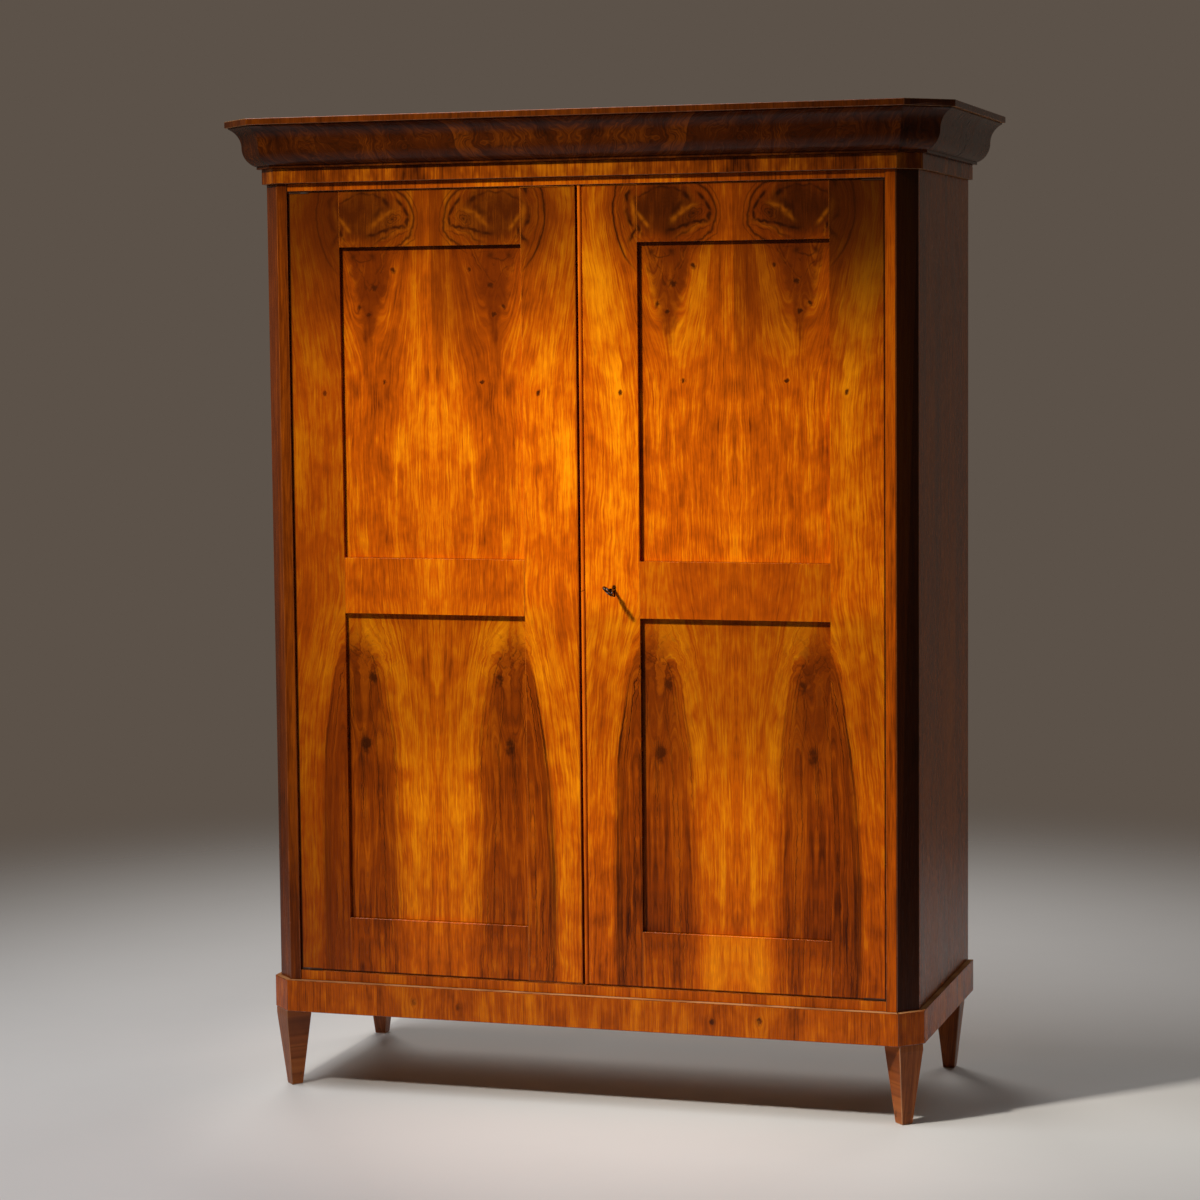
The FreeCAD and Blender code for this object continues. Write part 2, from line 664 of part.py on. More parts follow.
# Threshold and head rails: seats for the pivot plates, and a hole for each slide bolt.
# The carcase plates carry the pins, with a shoulder that the door turns on.
for end, rail, rail_z in (("bottom", "threshold", threshold_z), ("top", "head", head_z)):
    blank = box(f"{rail}_rail_blank", (-post_inner, post_inner), rail_y, rail_z)
    tenon_reach = post_inner + size["rail_tenon"]
    tenon = box(f"{rail}_rail_tenon", (-tenon_reach, tenon_reach), rail_tenon_y, rail_tenons[rail])
    whole = fuse(f"{rail}_rail_tenoned", blank, tenon)
    seats = []
    plates = []
    for side, hand in ((-1, "left"), (1, "right")):
        name = f"{hand}_{end}_pivot"
        seats.append(box(f"{name}_seat", sided(side, *plate_x), plate_y, carcase_plate_z[end]))
        flat = box(f"{name}_plate", sided(side, *plate_x), plate_y, carcase_plate_z[end])
        pin = upright(f"{name}_pin", size["pin_radius"], pivot_x * side, pivot_y, pin_z[end])
        shoulder = upright(f"{name}_shoulder", size["pivot_shoulder_radius"], pivot_x * side, pivot_y,
                           shoulder_z[end])
        plates.append(fuse(f"{name}_solid", flat, pin, shoulder))
    piece(cut(f"{rail}_rail_solid", whole, slide_holes[end], *seats), f"{rail}_rail")
    piece(group(f"{end}_pivot_group", *plates), f"{end}_pivot_plates")

# Door stops: two blocks under the head rail, just behind the doors.
stop_y = (door_back + size["stop_gap"], post_back)
stop_z = (door_ceiling - size["stop_height"], door_ceiling)
stops = []
for side, hand in ((-1, "left"), (1, "right")):
    stop_low = size["stop_place"] - size["stop_length"] / 2
    stops.append(box(f"{hand}_stop", sided(side, stop_low, stop_low + size["stop_length"]), stop_y, stop_z))
piece(group("stop_group", *stops), "door_stops")

# Lock: a case on the back of the right door's meeting stile, with a bolt that slides towards the left door.
# The key is hollow and turns on the case's drill pin.
lock_left = bead_edge + size["lock_margin"]
lock_x = (lock_left, lock_left + size["lock_length"])
lock_y = (door_back, door_back + size["lock_depth"])
lock_half = size["lock_height"] / 2
wall = size["lock_wall"]
lock_back = lock_y[1] - wall
bolt_y = (lock_back - size["bolt_clearance"] - size["bolt_thickness"], lock_back - size["bolt_clearance"])
bolt_z = (lock_z - size["bolt_height"] / 2, lock_z + size["bolt_height"] / 2)
case = box("lock_case_blank", lock_x, lock_y, (lock_z - lock_half, lock_z + lock_half))
cavity = box("lock_case_cavity", (lock_x[0] + wall, lock_x[1] - wall), (door_back, lock_back),
             (lock_z - lock_half + wall, lock_z + lock_half - wall))
bolt_gap = box("lock_case_bolt_gap", (lock_x[0], lock_x[0] + wall), grown(bolt_y, size["bolt_clearance"]),
               grown(bolt_z, size["bolt_clearance"]))
shell = cut("lock_case_shell", case, cavity, bolt_gap)
drill_pin = along_depth("lock_drill_pin", size["drill_pin_radius"], key_x, (door_back, lock_back), lock_z)
piece(fuse("lock_case_solid", shell, drill_pin), "lock_case")
piece(box("lock_bolt_bar", (lock_x[0], lock_x[0] + size["bolt_length"]), bolt_y, bolt_z), "lock_bolt")

keeper_right = -meeting_edge[-1] - size["keeper_margin"]
keeper_x = (keeper_right - size["bolt_throw"] - size["keeper_spare"], keeper_right)
keeper_half = size["keeper_height"] / 2
keeper = box("keeper_blank", keeper_x, lock_y, (lock_z - keeper_half, lock_z + keeper_half))
keeper_slot = box("keeper_slot", (keeper_x[0] + size["keeper_wall"], keeper_x[1]),
                  grown(bolt_y, size["bolt_clearance"]), grown(bolt_z, size["bolt_clearance"] * 2))
piece(cut("keeper_solid", keeper, keeper_slot), "keeper_box")

# Key: an oval ring bow, a collar, a hollow stem and a bit, tilted as it was left in the lock.
tilt = value(size["key_tilt"])
tilt_cos = math.cos(math.radians(tilt))
tilt_sin = math.sin(math.radians(tilt))
bow_y = door_front - size["key_stand"]
bow_end = bow_y + size["bow_height"] / 2
stem_end = lock_back - size["key_end_gap"]
wire_radius = value(size["bow_wire"]) / 2
ring_width = value(size["bow_width"]) / 2 - wire_radius
ring_height = value(size["bow_height"]) / 2 - wire_radius
oval = FreeCAD.Matrix()
oval.scale(1, ring_height / ring_width, 1)
bow = doc.addObject("Part::Feature", "key_bow")
bow.Shape = Part.makeTorus(ring_width, wire_radius).transformGeometry(oval)
put(bow, key_x, bow_y, lock_z, Rotation(Vector(0, 1, 0), tilt))
stem_y = (bow_end - size["bow_wire"] / 2, stem_end)
stem = along_depth("key_stem", size["key_stem_radius"], key_x, stem_y, lock_z)
collar_y = into(bow_end + size["key_collar_gap"], 1, size["key_collar_length"])
collar = along_depth("key_collar", size["key_collar_radius"], key_x, collar_y, lock_z)
bit = doc.addObject("Part::Box", "key_bit")
bit_low = -size["key_bit_thickness"] / 2
tie(bit, Length=size["key_bit_reach"], Width=size["key_bit_length"], Height=size["key_bit_thickness"])
put(bit, key_x + bit_low * tilt_sin, door_back + size["key_bit_gap"], lock_z + bit_low * tilt_cos,
    Rotation(Vector(0, 1, 0), tilt))
key_body = fuse("key_body", bow, stem, collar, bit)
key_bore = along_depth("key_bore", size["drill_pin_radius"] + size["pin_clearance"], key_x,
                       (door_back - size["key_end_gap"], stem_end), lock_z)
piece(cut("key_solid", key_body, key_bore), "key")

# Frieze and cornice: mitred boards under an ogee moulding, convex below and hollow above.
board_ring("frieze", size["frieze_projection"], size["frieze_projection"] + size["cornice_backing"],
           (frieze_bottom, frieze_top))


def ogee_profile():
    """The moulding's section as a face: y runs inwards from the carcase's plane, z is the height."""
    inner = value(size["cornice_backing"])
    low = value(frieze_top)
    high = value(cornice_top)
    foot_z = low + value(size["cornice_fillet_height"])
    crest_z = high - value(size["ogee_top_fillet"])
    turn_z = (foot_z + crest_z) / 2
    fillet = value(size["cornice_fillet_projection"])
    foot = value(size["ogee_foot_projection"])
    middle = value(size["ogee_middle_projection"])
    crest = value(size["ogee_top_projection"])

    def point(projection, z):
        return Vector(0, -projection, z)

    def quarter(end, end_z):
        """An arc that leaves the middle of the ogee upright and reaches the given end."""
        out = end - middle
        rise = end_z - turn_z
        radius = (out * out + rise * rise) / (2 * abs(out))
        sweep = math.atan2(abs(rise), radius - abs(out)) / 2
        way = math.copysign(1, out)
        halfway = point(middle + way * radius * (1 - math.cos(sweep)),
                        turn_z + math.copysign(radius * math.sin(sweep), rise))
        return Part.Arc(point(middle, turn_z), halfway, point(end, end_z)).toShape()

    lines = [point(foot, foot_z), point(fillet, foot_z), point(fillet, low), point(-inner, low),
             point(-inner, high), point(crest, high), point(crest, crest_z)]
    edges = [Part.makeLine(a, b) for a, b in zip(lines, lines[1:])]
    edges.append(quarter(crest, crest_z))
    edges.append(quarter(foot, foot_z))
    return Part.Face(Part.Wire(Part.__sortEdges__(edges)))


def moulding(name, turn, x, y, start, end, mitres):
    """A length of the ogee, cut at its ends on the mitres of the chamfered corners."""
    outer = -value(size["top_board_projection"])
    inner = value(size["cornice_backing"])
    plan = []
    for depth in (outer, inner):
        ends = (value(start) + MITRE * depth * mitres[0], value(end) - MITRE * depth * mitres[1])
        plan.append([Vector(along, depth, value(frieze_top)) for along in ends])
    corners = [plan[0][0], plan[0][1], plan[1][1], plan[1][0], plan[0][0]]
    prism = Part.Face(Part.makePolygon(corners)).extrude(Vector(0, 0, value(size["cornice_height"])))
    first = min(corner.x for corner in corners)
    length = max(corner.x for corner in corners) - first
    run = ogee_profile().translated(Vector(first, 0, 0)).extrude(Vector(length, 0, 0))
    thing = doc.addObject("Part::Feature", name)
    thing.Shape = run.common(prism)
    put(thing, x, y, 0, Rotation(Vector(0, 0, 1), turn))
    return thing


mouldings = {}
for run, turn, x, y, start, end, mitres in ring_runs(Length("0")):
    mouldings[run] = moulding(f"cornice_{run}_moulding", turn, x, y, start, end, mitres)
ring_pieces("cornice", mouldings)

cornice_inner = half - size["cornice_backing"]
cornice_rail_y = (back - size["cornice_rail_thickness"], back)
piece(box("cornice_back_board", (-cornice_inner, cornice_inner), cornice_rail_y,
          (frieze_bottom, cornice_top)), "cornice_back_rail")

# Top board: a thin slab over the cornice, with its front corners cut off.
top_projection = size["top_board_projection"]
top_reach = half + top_projection
slab_z = (cornice_top, top_of_all)
slab = box("top_slab", (-top_reach, top_reach), (front - top_projection, back), slab_z)
slab_cuts = []
for side, hand in ((-1, "left"), (1, "right")):
    x, y = corner_middle(side, top_projection)
    reach = chamfer_at(top_projection)
    slab_cuts.append(turned_box(f"top_slab_{hand}_cut", (-reach, reach), (-reach, 0), slab_z, x, y,
                                45 * side))
piece(cut("top_slab_solid", slab, *slab_cuts), "cornice_top_board")

# Every object has to be sound before anything is saved.
doc.recompute()
for thing in doc.Objects:
    if {"Invalid", "Error"} & set(thing.State):
        raise SystemExit(f"{thing.Label} failed: {thing.State}")
for thing in pieces:
    if thing.Shape.isNull() or not thing.Shape.isValid() or not thing.Shape.Solids:
        raise SystemExit(f"{thing.Label} has no sound shape")
os.makedirs("parts", exist_ok=True)
for thing in pieces:
    thing.Shape.exportStep(os.path.join("parts", f"{thing.Label}.step"))
extent = Part.makeCompound([thing.Shape for thing in pieces]).BoundBox
print(f"{len(pieces)} pieces, {extent.XLength:.1f} x {extent.YLength:.1f} x {extent.ZLength:.1f} mm")
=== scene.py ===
"""The looks of a two-door linen cupboard in polished walnut veneer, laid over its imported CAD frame."""
import math

import bmesh
import bpy
import numpy as np
from mathutils import Matrix, Vector


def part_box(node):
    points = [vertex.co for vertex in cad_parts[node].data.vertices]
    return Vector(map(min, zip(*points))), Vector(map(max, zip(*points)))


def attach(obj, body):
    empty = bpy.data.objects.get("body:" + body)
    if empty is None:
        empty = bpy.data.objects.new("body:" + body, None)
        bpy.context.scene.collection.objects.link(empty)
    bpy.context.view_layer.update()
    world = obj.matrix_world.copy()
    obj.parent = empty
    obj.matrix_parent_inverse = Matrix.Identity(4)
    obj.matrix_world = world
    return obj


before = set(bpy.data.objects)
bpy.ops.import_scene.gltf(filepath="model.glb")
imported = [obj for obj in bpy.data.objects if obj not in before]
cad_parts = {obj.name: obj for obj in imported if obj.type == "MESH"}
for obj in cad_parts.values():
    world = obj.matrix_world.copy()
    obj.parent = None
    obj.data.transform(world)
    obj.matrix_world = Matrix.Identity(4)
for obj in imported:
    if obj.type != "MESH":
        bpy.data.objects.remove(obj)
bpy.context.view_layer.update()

# The four legs: square tapers of solid walnut with a short neck, tenoned into blocks inside the plinth.
# Their polish is thin, the arrises are rubbed pale and the toes are scuffed by brooms and feet.


class Field:
    """A number or colour that varies over a surface: an output of a shader node, with arithmetic on it."""

    def __init__(self, tree, socket):
        self.tree = tree
        self.socket = socket

    def math(self, operation, *others):
        return wire(self.tree, "Math", [self, *others], operation=operation)

    def __add__(self, other):
        return self.math("ADD", other)

    def __sub__(self, other):
        return self.math("SUBTRACT", other)

    def __rsub__(self, other):
        return wire(self.tree, "Math", [other, self], operation="SUBTRACT")

    def __mul__(self, other):
        return self.math("MULTIPLY", other)

    def __truediv__(self, other):
        return self.math("DIVIDE", other)

    __radd__ = __add__
    __rmul__ = __mul__

    def size(self):
        """The field without its sign."""
        return self.math("ABSOLUTE")

    def rise(self, low, high):
        """0 up to low and 1 from high on, with a smooth step between them; low may be the larger one."""
        span = {"Value": self, "From Min": low, "From Max": high}
        return wire(self.tree, "MapRange", span, interpolation_type="SMOOTHSTEP")

    def ramp(self, low, high):
        """0 up to low and 1 from high on, with a straight line between them."""
        return wire(self.tree, "MapRange", {"Value": self, "From Min": low, "From Max": high})

    def bell(self, width):
        """1 where the field is zero, falling away on both sides as exp(-(field / width) squared)."""
        share = self / width
        return (0.0 - share * share).math("EXPONENT")


def wire(tree, kind, inputs=(), output=0, **settings):
    """Adds a shader node, sets or joins its inputs, and gives one of its outputs as a Field."""
    node = tree.nodes.new("ShaderNode" + kind)
    for name, value in settings.items():
        setattr(node, name, value)
    for slot, value in inputs.items() if isinstance(inputs, dict) else enumerate(inputs):
        if isinstance(value, Field):
            tree.links.new(value.socket, node.inputs[slot])
        else:
            node.inputs[slot].default_value = value
    return Field(tree, node.outputs[output])


def tint(red, green, blue):
    """A colour written as it shows on a screen, 0 to 255, turned into the linear one that shaders take."""
    shown = np.array([red, green, blue]) / 255
    linear = np.where(shown <= 0.04045, shown / 12.92, ((shown + 0.055) / 1.055) ** 2.4)
    return (*linear.tolist(), 1.0)


def blend(factor, first, second):
    """The colour first where factor is 0 and second where it is 1."""
    tree = next(part.tree for part in (factor, first, second) if isinstance(part, Field))
    return wire(tree, "Mix", {0: factor, 6: first, 7: second}, output=2, data_type="RGBA")


def noise(across, along, sheet, detail=2.0):
    """Noise about zero, mostly within one either way, with features about one unit long each way. The sheet
    is a seed: every number gives another pattern."""
    vector = wire(across.tree, "CombineXYZ", [across, along, sheet])
    raw = wire(across.tree, "TexNoise", {"Vector": vector, "Scale": 1.0, "Detail": detail})
    return raw * 4.0 - 2.0


def pattern(name, inputs, outputs):
    """Starts a node group with named inputs, each with its default, and gives its tree and those inputs."""
    tree = bpy.data.node_groups.new(name, "ShaderNodeTree")
    for label, default in inputs.items():
        kind = "NodeSocketColor" if isinstance(default, tuple) else "NodeSocketFloat"
        tree.interface.new_socket(label, in_out="INPUT", socket_type=kind).default_value = default
    for label in outputs:
        kind = "NodeSocketColor" if label == "Color" else "NodeSocketFloat"
        tree.interface.new_socket(label, in_out="OUTPUT", socket_type=kind)
    entry = tree.nodes.new("NodeGroupInput")
    return tree, [Field(tree, entry.outputs[label]) for label in inputs]


def give_out(tree, **fields):
    """Ends a node group by joining each of its outputs to a Field."""
    end = tree.nodes.new("NodeGroupOutput")
    for label, field in fields.items():
        tree.links.new(field.socket, end.inputs[label])


def use(tree, group, **inputs):
    """Places a node group in a tree with its own values, and gives its outputs by name."""
    node = tree.nodes.new("ShaderNodeGroup")
    node.node_tree = group
    for label, value in inputs.items():
        slot = node.inputs[label.replace("_", " ")]
        if isinstance(value, Field):
            tree.links.new(value.socket, slot)
        else:
            slot.default_value = value
    return {socket.name: Field(tree, socket) for socket in node.outputs}


def new_finish(name, **plain):
    """A material with its plain shader values, and its tree, its shader and the three Object coordinates."""
    material = bpy.data.materials.new(name)
    material.use_nodes = True
    tree = material.node_tree
    shader = tree.nodes["Principled BSDF"]
    for label, value in plain.items():
        shader.inputs[label.replace("_", " ")].default_value = value
    split = wire(tree, "SeparateXYZ", [wire(tree, "TexCoord", output="Object")]).socket.node
    return material, tree, shader, [Field(tree, socket) for socket in split.outputs]


def coat_with(tree, shader, colour, roughness, height, strength, distance):
    """Joins a finish's colour, roughness and relief to its shader."""
    tree.links.new(colour.socket, shader.inputs["Base Color"])
    tree.links.new(roughness.socket, shader.inputs["Roughness"])
    relief = wire(tree, "Bump", {"Strength": strength, "Distance": distance, "Height": height})
    tree.links.new(relief.socket, shader.inputs["Normal"])


def build_walnut_grain():
    """Walnut cut into sheets. Across counts the growth lines, bent a little by slow noise; Along runs with
    them. Tones, streaks, threads, fibres, curl, flakes and pores are noise drawn out along the grain."""
    tree, given = pattern(
        "walnut_grain",
        {"Across": 0.0, "Along": 0.0, "Sheet": 0.0, "Streaks": 1.0, "Curl": 1.0, "Dark": tint(80, 40, 15),
         "Middle": tint(150, 80, 30), "Light": tint(200, 120, 50)},
        ["Color", "Roughness", "Height"])
    across, along, sheet, streaks, curliness, dark, middle, light = given
    sheet = sheet * 17.31
    across = across + noise(across * 5.0, along * 2.2, sheet, 1.0) * 0.006
    tone = noise(across * 12.0, along * 1.3, sheet, 2.0)
    streak = noise(across * 80.0, along * 2.0, sheet, 3.0)
    thread = noise(across * 250.0, along * 7.0, sheet, 3.0)
    fibre = noise(across * 420.0, along * 18.0, sheet, 2.0)
    flake = noise(across * 85.0 + tone, along * 42.0, sheet, 2.0)
    curl = noise(across * 26.0 + tone * 0.5, along * 20.0 + tone * 0.7, sheet, 3.0)
    pore = noise(across * 900.0, along * 38.0, sheet, 0.0).rise(0.45, 0.85)
    shade = tone * 0.28 + streak * streaks * 0.18 + thread * (streaks * 0.10 + 0.08) + fibre * 0.20 + 0.5
    shade = shade + (curl * 0.17 + flake * 0.06) * curliness
    colour = blend(shade.ramp(0.5, 1.0), blend(shade.ramp(0.0, 0.5), dark, middle), light)
    colour = blend(pore * 0.25, colour, dark)
    give_out(tree, Color=colour, Roughness=tone * 0.03 + pore * 0.12 + 0.24, Height=fibre * 0.3 - pore)
    return tree


walnut_grain = build_walnut_grain()


def worn_arris(name, colour, rough):
    """The finish of an eased edge, where polish and stain are rubbed through: paler, broken up by noise."""
    material, tree, shader, (x, y, z) = new_finish(name, Specular_IOR_Level=0.7)
    patch = noise(x * 55.0, y * 55.0, z * 18.0, 3.0)
    scuff = noise(x * 400.0, y * 400.0, z * 150.0, 2.0)
    stained = tint(*(0.74 * value for value in colour))
    shade = blend(patch.rise(-0.6, 0.9), stained, tint(*colour))
    coat_with(tree, shader, shade, patch * 0.08 + rough, scuff, strength=0.15, distance=0.0004)
    return material


def dress(material, names, arris=None, width=0.0):
    """Gives CAD nodes a finish; with an arris finish, their edges are also eased by that width."""
    for name in names:
        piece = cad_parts[name]
        piece.data.materials.clear()
        piece.data.materials.append(material)
        if arris:
            piece.data.materials.append(arris)
            weld = piece.modifiers.new("weld", "WELD")
            weld.merge_threshold = 1e-5
            ease = piece.modifiers.new("eased_edges", "BEVEL")
            ease.width, ease.segments, ease.limit_method = width, 2, "ANGLE"
            ease.angle_limit = math.radians(30)
            ease.material = 1
            ease.use_clamp_overlap = True


leg_finish, tree, shader, (x, y, z) = new_finish("solid_walnut_legs", Specular_IOR_Level=0.2)
leg_across = x.size() + y
toe = z.rise(0.05, 0.0)
scuffs = noise(x * 90.0, y * 90.0, z * 60.0, 3.0).rise(0.25, 0.8) * (toe * 0.6 + 0.15)
grain = use(tree, walnut_grain, Across=leg_across, Along=z, Sheet=1.0, Streaks=0.9, Curl=0.5,
            Dark=tint(78, 34, 9), Middle=tint(136, 68, 24), Light=tint(182, 104, 42))
colour = blend(scuffs, grain["Color"], tint(64, 40, 26))
coat_with(tree, shader, colour, grain["Roughness"] + scuffs * 0.25 + 0.08, grain["Height"] - scuffs * 0.5,
          strength=0.2, distance=0.0006)
leg_arris = worn_arris("rubbed_walnut_arris", (186, 122, 74), rough=0.42)
LEGS = ["front_left_leg", "front_right_leg", "rear_left_leg", "rear_right_leg"]
dress(leg_finish, LEGS, leg_arris, width=0.0016)

# The plinth: pine boards mitred round the chamfered corners, faced with walnut veneer laid with its grain
# upright, in sheets that mirror each other about the middle. Knots of the sheets show beside the middle.


def build_knot():
    """Grain flowing round a knot, as a stream flows round a post: lines at a distance d from its middle move
    by d times (radius / distance) squared, less near it. Knot is 1 at its middle and falls away from it."""
    tree, given = pattern(
        "grain_round_knot",
        {"Across": 0.0, "Along": 0.0, "At Across": 0.0, "At Along": 0.0, "Radius": 0.006, "Stretch": 1.5},
        ["Shift", "Knot"])
    across, along, at_across, at_along, radius, stretch = given
    aside = across - at_across
    ahead = (along - at_along) / stretch
    far = (aside * aside + ahead * ahead) / (radius * radius)
    give_out(tree, Shift=0.0 - aside / (far + 0.35), Knot=(0.0 - far * 1.3).math("EXPONENT"))
    return tree


grain_round_knot = build_knot()


def strongest(first, *others):
    """The largest of several masks."""
    for other in others:
        first = first.math("MAXIMUM", other)
    return first


def knots(tree, across, along, places):
    """Bends the grain round knots, each (across, along, radius, stretch); gives the grain and a knot mask."""
    found = [use(tree, grain_round_knot, Across=across, Along=along, At_Across=at_across, At_Along=at_along,
                 Radius=radius, Stretch=stretch) for at_across, at_along, radius, stretch in places]
    return across + sum(knot["Shift"] for knot in found), strongest(*(knot["Knot"] for knot in found))


def build_aged_softwood():
    """Pine gone brown with age, in boards of a set width. Rings are waves of the distance from each board's
    heart line, which drifts along the board, so that they draw arches; they part round knots. Stain, fibres
    and a thin dark joint between boards lie over them."""
    tree, given = pattern("aged_softwood", {"Across": 0.0, "Along": 0.0, "Depth": 0.0, "Board": 0.18},
                          ["Color", "Roughness", "Height"])
    across, along, depth, board = given
    count = across / board
    number = count.math("FLOOR")
    lot = wire(tree, "TexWhiteNoise", {"W": number * 1.37 + 5.2}, noise_dimensions="1D")
    off = (count - number - 0.35 - lot * 0.3) * board
    joint = ((0.5 - (count - number - 0.5).size()) * board).rise(0.0014, 0.0004)
    cell = wire(tree, "CombineXYZ", [across * 5.0, along * 3.4, number * 2.3 + depth])
    eyes = wire(tree, "TexVoronoi", {"Vector": cell, "Scale": 1.0}, output="Distance").socket.node
    chosen = wire(tree, "SeparateColor", [Field(tree, eyes.outputs["Color"])]).rise(0.50, 0.55)
    near = Field(tree, eyes.outputs["Distance"])
    knot = near.rise(0.075, 0.045) * chosen
    drift = along * (lot - 0.5) * 0.03 + noise(across * 7.0, along * 1.4, number + depth * 3.0, 2.0) * 0.008
    heart = (off * off + 0.0008).math("SQRT") + drift + near.bell(0.14) * chosen * 0.010
    ring = (heart * 1300.0 + noise(heart * 60.0, along * 0.8, number, 1.0) * 1.2).math("SINE")
    fibre = noise(across * 700.0, along * 14.0, depth, 2.0)
    stain = noise(across * 6.0, along * 3.0, depth * 2.0 + number, 4.0)
    colour = blend(ring.ramp(-0.4, 1.0) * 0.85, tint(184, 132, 84), tint(142, 90, 52))
    colour = blend(lot * 0.45, colour, tint(128, 82, 48))
    colour = blend(stain.rise(-0.1, 1.3) * 0.5, colour, tint(104, 68, 40))
    colour = blend(fibre.rise(0.2, 1.2) * 0.25, colour, tint(116, 76, 44))
    knot_ring = (near * 190.0).math("SINE").rise(-0.5, 1.0)
    colour = blend(knot, colour, blend(knot_ring, tint(112, 62, 30), tint(74, 38, 20)))
    colour = blend(joint * 0.85, colour, tint(52, 33, 20))
    give_out(tree, Color=colour, Roughness=stain * 0.06 + 0.64, Height=fibre * 0.4 + ring * 0.3 - joint * 2.0)
    return tree


aged_softwood = build_aged_softwood()
VENEER_DARK, VENEER_MIDDLE, VENEER_LIGHT = tint(92, 34, 2), tint(184, 82, 3), tint(236, 132, 9)


def laid_veneer(name, offset, sheet, sheet_width, core, dark=VENEER_DARK, middle=VENEER_MIDDLE,
                light=VENEER_LIGHT, spots=(), curl=1.0, painted_shade=None,
                inside=lambda x, y, z: (z + 0.03, x + y, x - y)):
    """Veneer with upright grain in sheets of a set width, mirrored about the middle, on the faces where core
    is 0; offset moves the joints by a share of a sheet. Each sheet has its own tone, and a thin dark glue
    line parts it from the next. Elsewhere the softwood under it shows, its grain laid as inside says."""
    material, tree, shader, (x, y, z) = new_finish(name, Specular_IOR_Level=0.14)
    across = x.size() + y
    count = across / sheet_width + offset
    number = count.math("FLOOR")
    joint = (count - number - 0.5).size().rise(0.5 - 0.0007 / sheet_width, 0.5)
    spread, dark_spot = across, None
    if spots:
        spread, dark_spot = knots(tree, across, z, spots)
    grain = use(tree, walnut_grain, Across=spread + x * 0.012, Along=z, Sheet=number * 1.7 + sheet,
                Streaks=0.7, Curl=curl, Dark=dark, Middle=middle, Light=light)
    lot = wire(tree, "TexWhiteNoise", {"W": number * 3.1 + sheet}, noise_dimensions="1D")
    colour = blend(lot * 0.3, grain["Color"], dark)
    colour = blend(joint * 0.55, colour, tint(48, 20, 6))
    # Painted shade, where a mask for it is given: the veneer is darkened nearly to black.
    if painted_shade:
        colour = blend(painted_shade(x, y, z) * 0.92, colour, tint(30, 10, 2))
    if dark_spot:
        patchy = noise(x * 160.0, z * 160.0, y, 2.0) * 0.4 + 0.8
        blot = (dark_spot * patchy).rise(0.10, 0.75) * (x.rise(-0.1, 0.1) * 0.4 + 0.6)
        colour = blend(blot * 0.85, colour, tint(40, 16, 4))
    bare = core(x, y, z)
    inner_across, inner_along, depth = inside(x, y, z)
    inner = use(tree, aged_softwood, Across=inner_across, Along=inner_along, Depth=depth)
    coat_with(tree, shader, blend(bare, colour, inner["Color"]),
              grain["Roughness"] * (1.0 - bare) + inner["Roughness"] * bare,
              (grain["Height"] - joint) * (1.0 - bare) + inner["Height"] * bare,
              strength=0.12, distance=0.0005)
    return material


def core_behind(front, side):
    """A mask for boards that go round the chamfered corners: 0 within a millimetre or two of their outer
    faces at the front, at the sides and on the chamfers, and 1 behind them."""
    (low, high), side_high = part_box(front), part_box(side)[1]
    edge = high.x - low.y

    def core(x, y, z):
        near_front = y.rise(low.y + 0.0012, low.y + 0.0008)
        near_side = x.size().rise(side_high.x - 0.0012, side_high.x - 0.0008)
        near_chamfer = (x.size() - y).rise(edge - 0.0022, edge - 0.0016)
        return 1.0 - strongest(near_front, near_side, near_chamfer)

    return core


plinth_low, plinth_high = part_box("plinth_front")
plinth_middle = (plinth_low.z + plinth_high.z) / 2
plinth_knots = [(0.262 + plinth_low.y, plinth_middle - 0.004, 0.0065, 1.3),
                (0.357 + plinth_low.y, plinth_middle + 0.002, 0.0075, 1.4)]
plinth_veneer = laid_veneer("plinth_veneer", offset=0.38, sheet=5.0, sheet_width=0.31,
                            core=core_behind("plinth_front", "plinth_right"), spots=plinth_knots)
veneer_arris = worn_arris("rubbed_veneer_arris", (150, 72, 12), rough=0.26)
PLINTH_BOARDS = ["plinth_front", "plinth_left", "plinth_right", "plinth_corners"]
dress(plinth_veneer, PLINTH_BOARDS, veneer_arris, width=0.0012)

# Inside the plinth: pine blocks that hold the leg tenons, and the back board of the plinth.
# They were never meant to be seen, so they are sawn, unpolished and darkened by dust.


def softwood_finish(name, lay):
    """Bare softwood. The grain runs as lay says: it turns Object coordinates into across, along and depth."""
    material, tree, shader, spot = new_finish(name, Specular_IOR_Level=0.14)
    across, along, depth = lay(*spot)
    wood = use(tree, aged_softwood, Across=across, Along=along, Depth=depth)
    coat_with(tree, shader, wood["Color"], wood["Roughness"], wood["Height"], strength=0.25, distance=0.0006)
    return material


softwood_arris = worn_arris("rubbed_softwood_arris", (196, 158, 108), rough=0.6)
upright_softwood = softwood_finish("softwood_upright", lambda x, y, z: (x + y, z, x - y))
lengthwise_softwood = softwood_finish("softwood_lengthwise", lambda x, y, z: (y + z, x, z * 3.0))
dress(upright_softwood, ["leg_blocks"], softwood_arris, width=0.001)
dress(lengthwise_softwood, ["plinth_back"], softwood_arris, width=0.001)

# The carcase: softwood sides, veneered outside and tongued into chamfered front posts; bottom and top boards
# housed in the sides; tongued back boards, nailed on; and three shelves on bearers.
side_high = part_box("right_side")[1]


def side_core(x, y, z):
    """1 on all of a side but its outer face."""
    return x.size().rise(side_high.x - 0.0008, side_high.x - 0.0014)


# The sides take a darker palette than the front: painted shade, as they face away from the light.
side_veneer = laid_veneer("side_veneer", offset=0.5, sheet=11.0, sheet_width=0.30, core=side_core, curl=0.6,
                          dark=tint(88, 36, 6), middle=tint(150, 70, 12), light=tint(190, 100, 22))
post_low, post_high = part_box("right_front_post")


def post_core(x, y, z):
    """1 on the rear face of a post, where the side joins it."""
    return y.rise(post_high.y - 0.0008, post_high.y - 0.0003)


